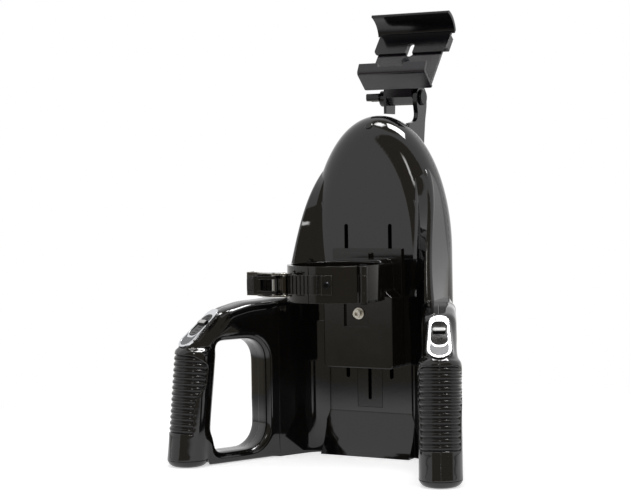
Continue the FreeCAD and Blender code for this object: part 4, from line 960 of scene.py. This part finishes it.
@dataclass
class Studio:
    """Pale floor that runs into white surroundings, and the softboxes, in metres.

    The floor keeps its shadow within the shadow's reach and runs to white at its radius, where it
    shows in gloss as dim as far_floor. The room, ceiling and ground are dim in gloss: their edges
    are the levels of a direction at which the dimness is full and at which it ends.
    """

    floor_radius: float = 0.62
    floor_steps: int = 96
    floor_colour: str = "f2f2f2"
    shadow_reach: float = 0.3
    floor_glow: float = 0.58
    far_floor: float = 0.3
    plain_level: float = 0.45
    room_colour: str = "979082"
    room_towards: Point = (0.559, -0.829, 0.0)
    room_edge: Pair = (0.6, 0.54)
    ceiling: Pair = (0.94, 0.88)
    ground: Pair = (-0.1, -0.04)
    softboxes: tuple[Softbox, ...] = (
        Softbox("left_softbox", place=(-1.9, -1.3, 1.5), aim=(0.0, 0.0, 0.3), size=(2.4, 2.4),
                radiance=0.5, rim=0.2, reach=Reach.MATT),
        Softbox("right_softbox", place=(1.6, 0.45, 0.75), aim=(0.0, 0.0, 0.25), size=(1.6, 1.2),
                radiance=1.0, rim=0.05, reach=Reach.MATT),
        Softbox("top_softbox", place=(0.5, 0.2, 2.0), aim=(0.0, 0.0, 0.2), size=(0.7, 0.9),
                radiance=22.0, rim=0.1, reach=Reach.GLOSS),
        Softbox("top_left_softbox", place=(-0.22, -0.15, 2.0), aim=(-0.2, -0.1, 0.2),
                size=(0.62, 0.6), radiance=14.0, rim=0.3, reach=Reach.GLOSS),
        Softbox("front_softbox", place=(0.72, -1.55, 1.0), aim=(0.0, 0.0, 0.2), size=(0.3, 0.7),
                radiance=7.0, rim=0.35, reach=Reach.GLOSS),
        Softbox("even_fill", place=(0.3, -0.8, 2.4), aim=(0.0, 0.0, 0.2), size=(1.8, 1.8),
                radiance=1.9, rim=0.3, reach=Reach.MATT))

    def build(self) -> None:
        """Make the floor, the world and the lamps."""
        self.floor()
        self.world()
        for softbox in self.softboxes:
            softbox.build()

    def seen(self, tree: bpy.types.NodeTree) -> bpy.types.NodeSocket:
        """Tell whether the surroundings are looked at, straight, in gloss or through glass.

        Args:
            tree: Nodes of the floor or of the world.

        Returns:
            A socket that is 1 for such a ray and 0 for a ray that only lights.
        """
        rays = add_node(tree, "ShaderNodeLightPath").outputs
        direct = reckon(tree, "MAXIMUM", rays["Is Camera Ray"], rays["Is Glossy Ray"])
        return reckon(tree, "MAXIMUM", direct, rays["Is Transmission Ray"])

    def floor(self) -> None:
        """Make the floor: it keeps the shadow near the object and is plain white further out."""
        turns = [math.tau * step / self.floor_steps for step in range(self.floor_steps)]
        rim = [(self.floor_radius * math.cos(turn), self.floor_radius * math.sin(turn), 0.0)
               for turn in turns]
        mesh = bpy.data.meshes.new("floor")
        mesh.from_pydata(rim, [], [tuple(range(len(rim)))])
        floor = put("floor", mesh)
        material = bpy.data.materials.new("pale_floor")
        material.use_nodes = True
        tree = material.node_tree
        tree.nodes.clear()
        place = add_node(tree, "ShaderNodeTexCoord")
        away = add_node(tree, "ShaderNodeVectorMath", {"operation": "LENGTH"},
                        {0: place.outputs["Object"]})
        fade = smooth_step(tree, (self.shadow_reach, self.floor_radius), away.outputs["Value"])
        matt = add_node(tree, "ShaderNodeBsdfDiffuse", {"Color": linear(self.floor_colour)})
        glow = add_node(tree, "ShaderNodeEmission", {"Strength": self.floor_glow})
        both = add_node(tree, "ShaderNodeAddShader")
        tree.links.new(matt.outputs["BSDF"], both.inputs[0])
        tree.links.new(glow.outputs["Emission"], both.inputs[1])
        path = add_node(tree, "ShaderNodeLightPath")
        level = add_node(tree, "ShaderNodeMapRange", {"To Min": self.far_floor, "To Max": 1.0},
                         {"Value": path.outputs["Is Camera Ray"]})
        white = add_node(tree, "ShaderNodeEmission", links={"Strength": level.outputs["Result"]})
        spread = add_node(tree, "ShaderNodeMixShader", links={
            0: fade, 1: both.outputs["Shader"], 2: white.outputs["Emission"]})
        shown = add_node(tree, "ShaderNodeMixShader", links={
            0: self.seen(tree), 1: matt.outputs["BSDF"], 2: spread.outputs["Shader"]})
        out = add_node(tree, "ShaderNodeOutputMaterial")
        tree.links.new(shown.outputs["Shader"], out.inputs["Surface"])
        mesh.materials.append(material)

    def world(self) -> None:
        """Make the surroundings: white to look at, and plain grey to rays that only light.

        In gloss the walls are white, but the ceiling, the ground and the room on the
        photographer's side are dim. This keeps the middle of the photographed panel black.
        """
        world = bpy.data.worlds.new("studio")
        bpy.context.scene.world = world
        world.use_nodes = True
        tree = world.node_tree
        tree.nodes.clear()
        rays = add_node(tree, "ShaderNodeLightPath").outputs
        place = add_node(tree, "ShaderNodeTexCoord")
        parts = add_node(tree, "ShaderNodeSeparateXYZ", links={0: place.outputs["Object"]})
        towards = add_node(tree, "ShaderNodeVectorMath",
                           {"operation": "DOT_PRODUCT", 1: self.room_towards},
                           {0: place.outputs["Object"]})
        wall = smooth_step(tree, self.room_edge, towards.outputs["Value"])
        for edge in (self.ceiling, self.ground):
            wall = reckon(tree, "MULTIPLY", wall, smooth_step(tree, edge, parts.outputs["Z"]))
        backdrop = reckon(tree, "MAXIMUM", rays["Is Camera Ray"], wall)
        looked = add_node(tree, "ShaderNodeMix",
                          {"data_type": "RGBA", 6: linear(self.room_colour), 7: WHITE},
                          {0: backdrop})
        plain = (self.plain_level, self.plain_level, self.plain_level, 1.0)
        shown = add_node(tree, "ShaderNodeMix", {"data_type": "RGBA", 6: plain},
                         {0: self.seen(tree), 7: looked.outputs[2]})
        sky = add_node(tree, "ShaderNodeBackground", {"Strength": 1.0},
                       {"Color": shown.outputs[2]})
        out = add_node(tree, "ShaderNodeOutputWorld")
        tree.links.new(sky.outputs["Background"], out.inputs["Surface"])


def main() -> None:
    """Build the studio and every sub-assembly."""
    logging.basicConfig(level=logging.INFO, format="%(message)s")
    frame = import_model()
    bpy.context.scene.view_settings.view_transform = "Standard"
    Camera().build()
    Studio().build()
    shop = Workshop(frame)
    ridges = RidgeTree()
    for group in (Shell(shop), Handle(shop, hand="right", side=1),
                  Handle(shop, hand="left", side=-1), SlideBracket(shop), Collar(shop),
                  Buckle(shop), PhoneHolder(shop)):
        group.dress()
        group.build(ridges)
    shop.check()


if __name__ == "__main__":
    main()
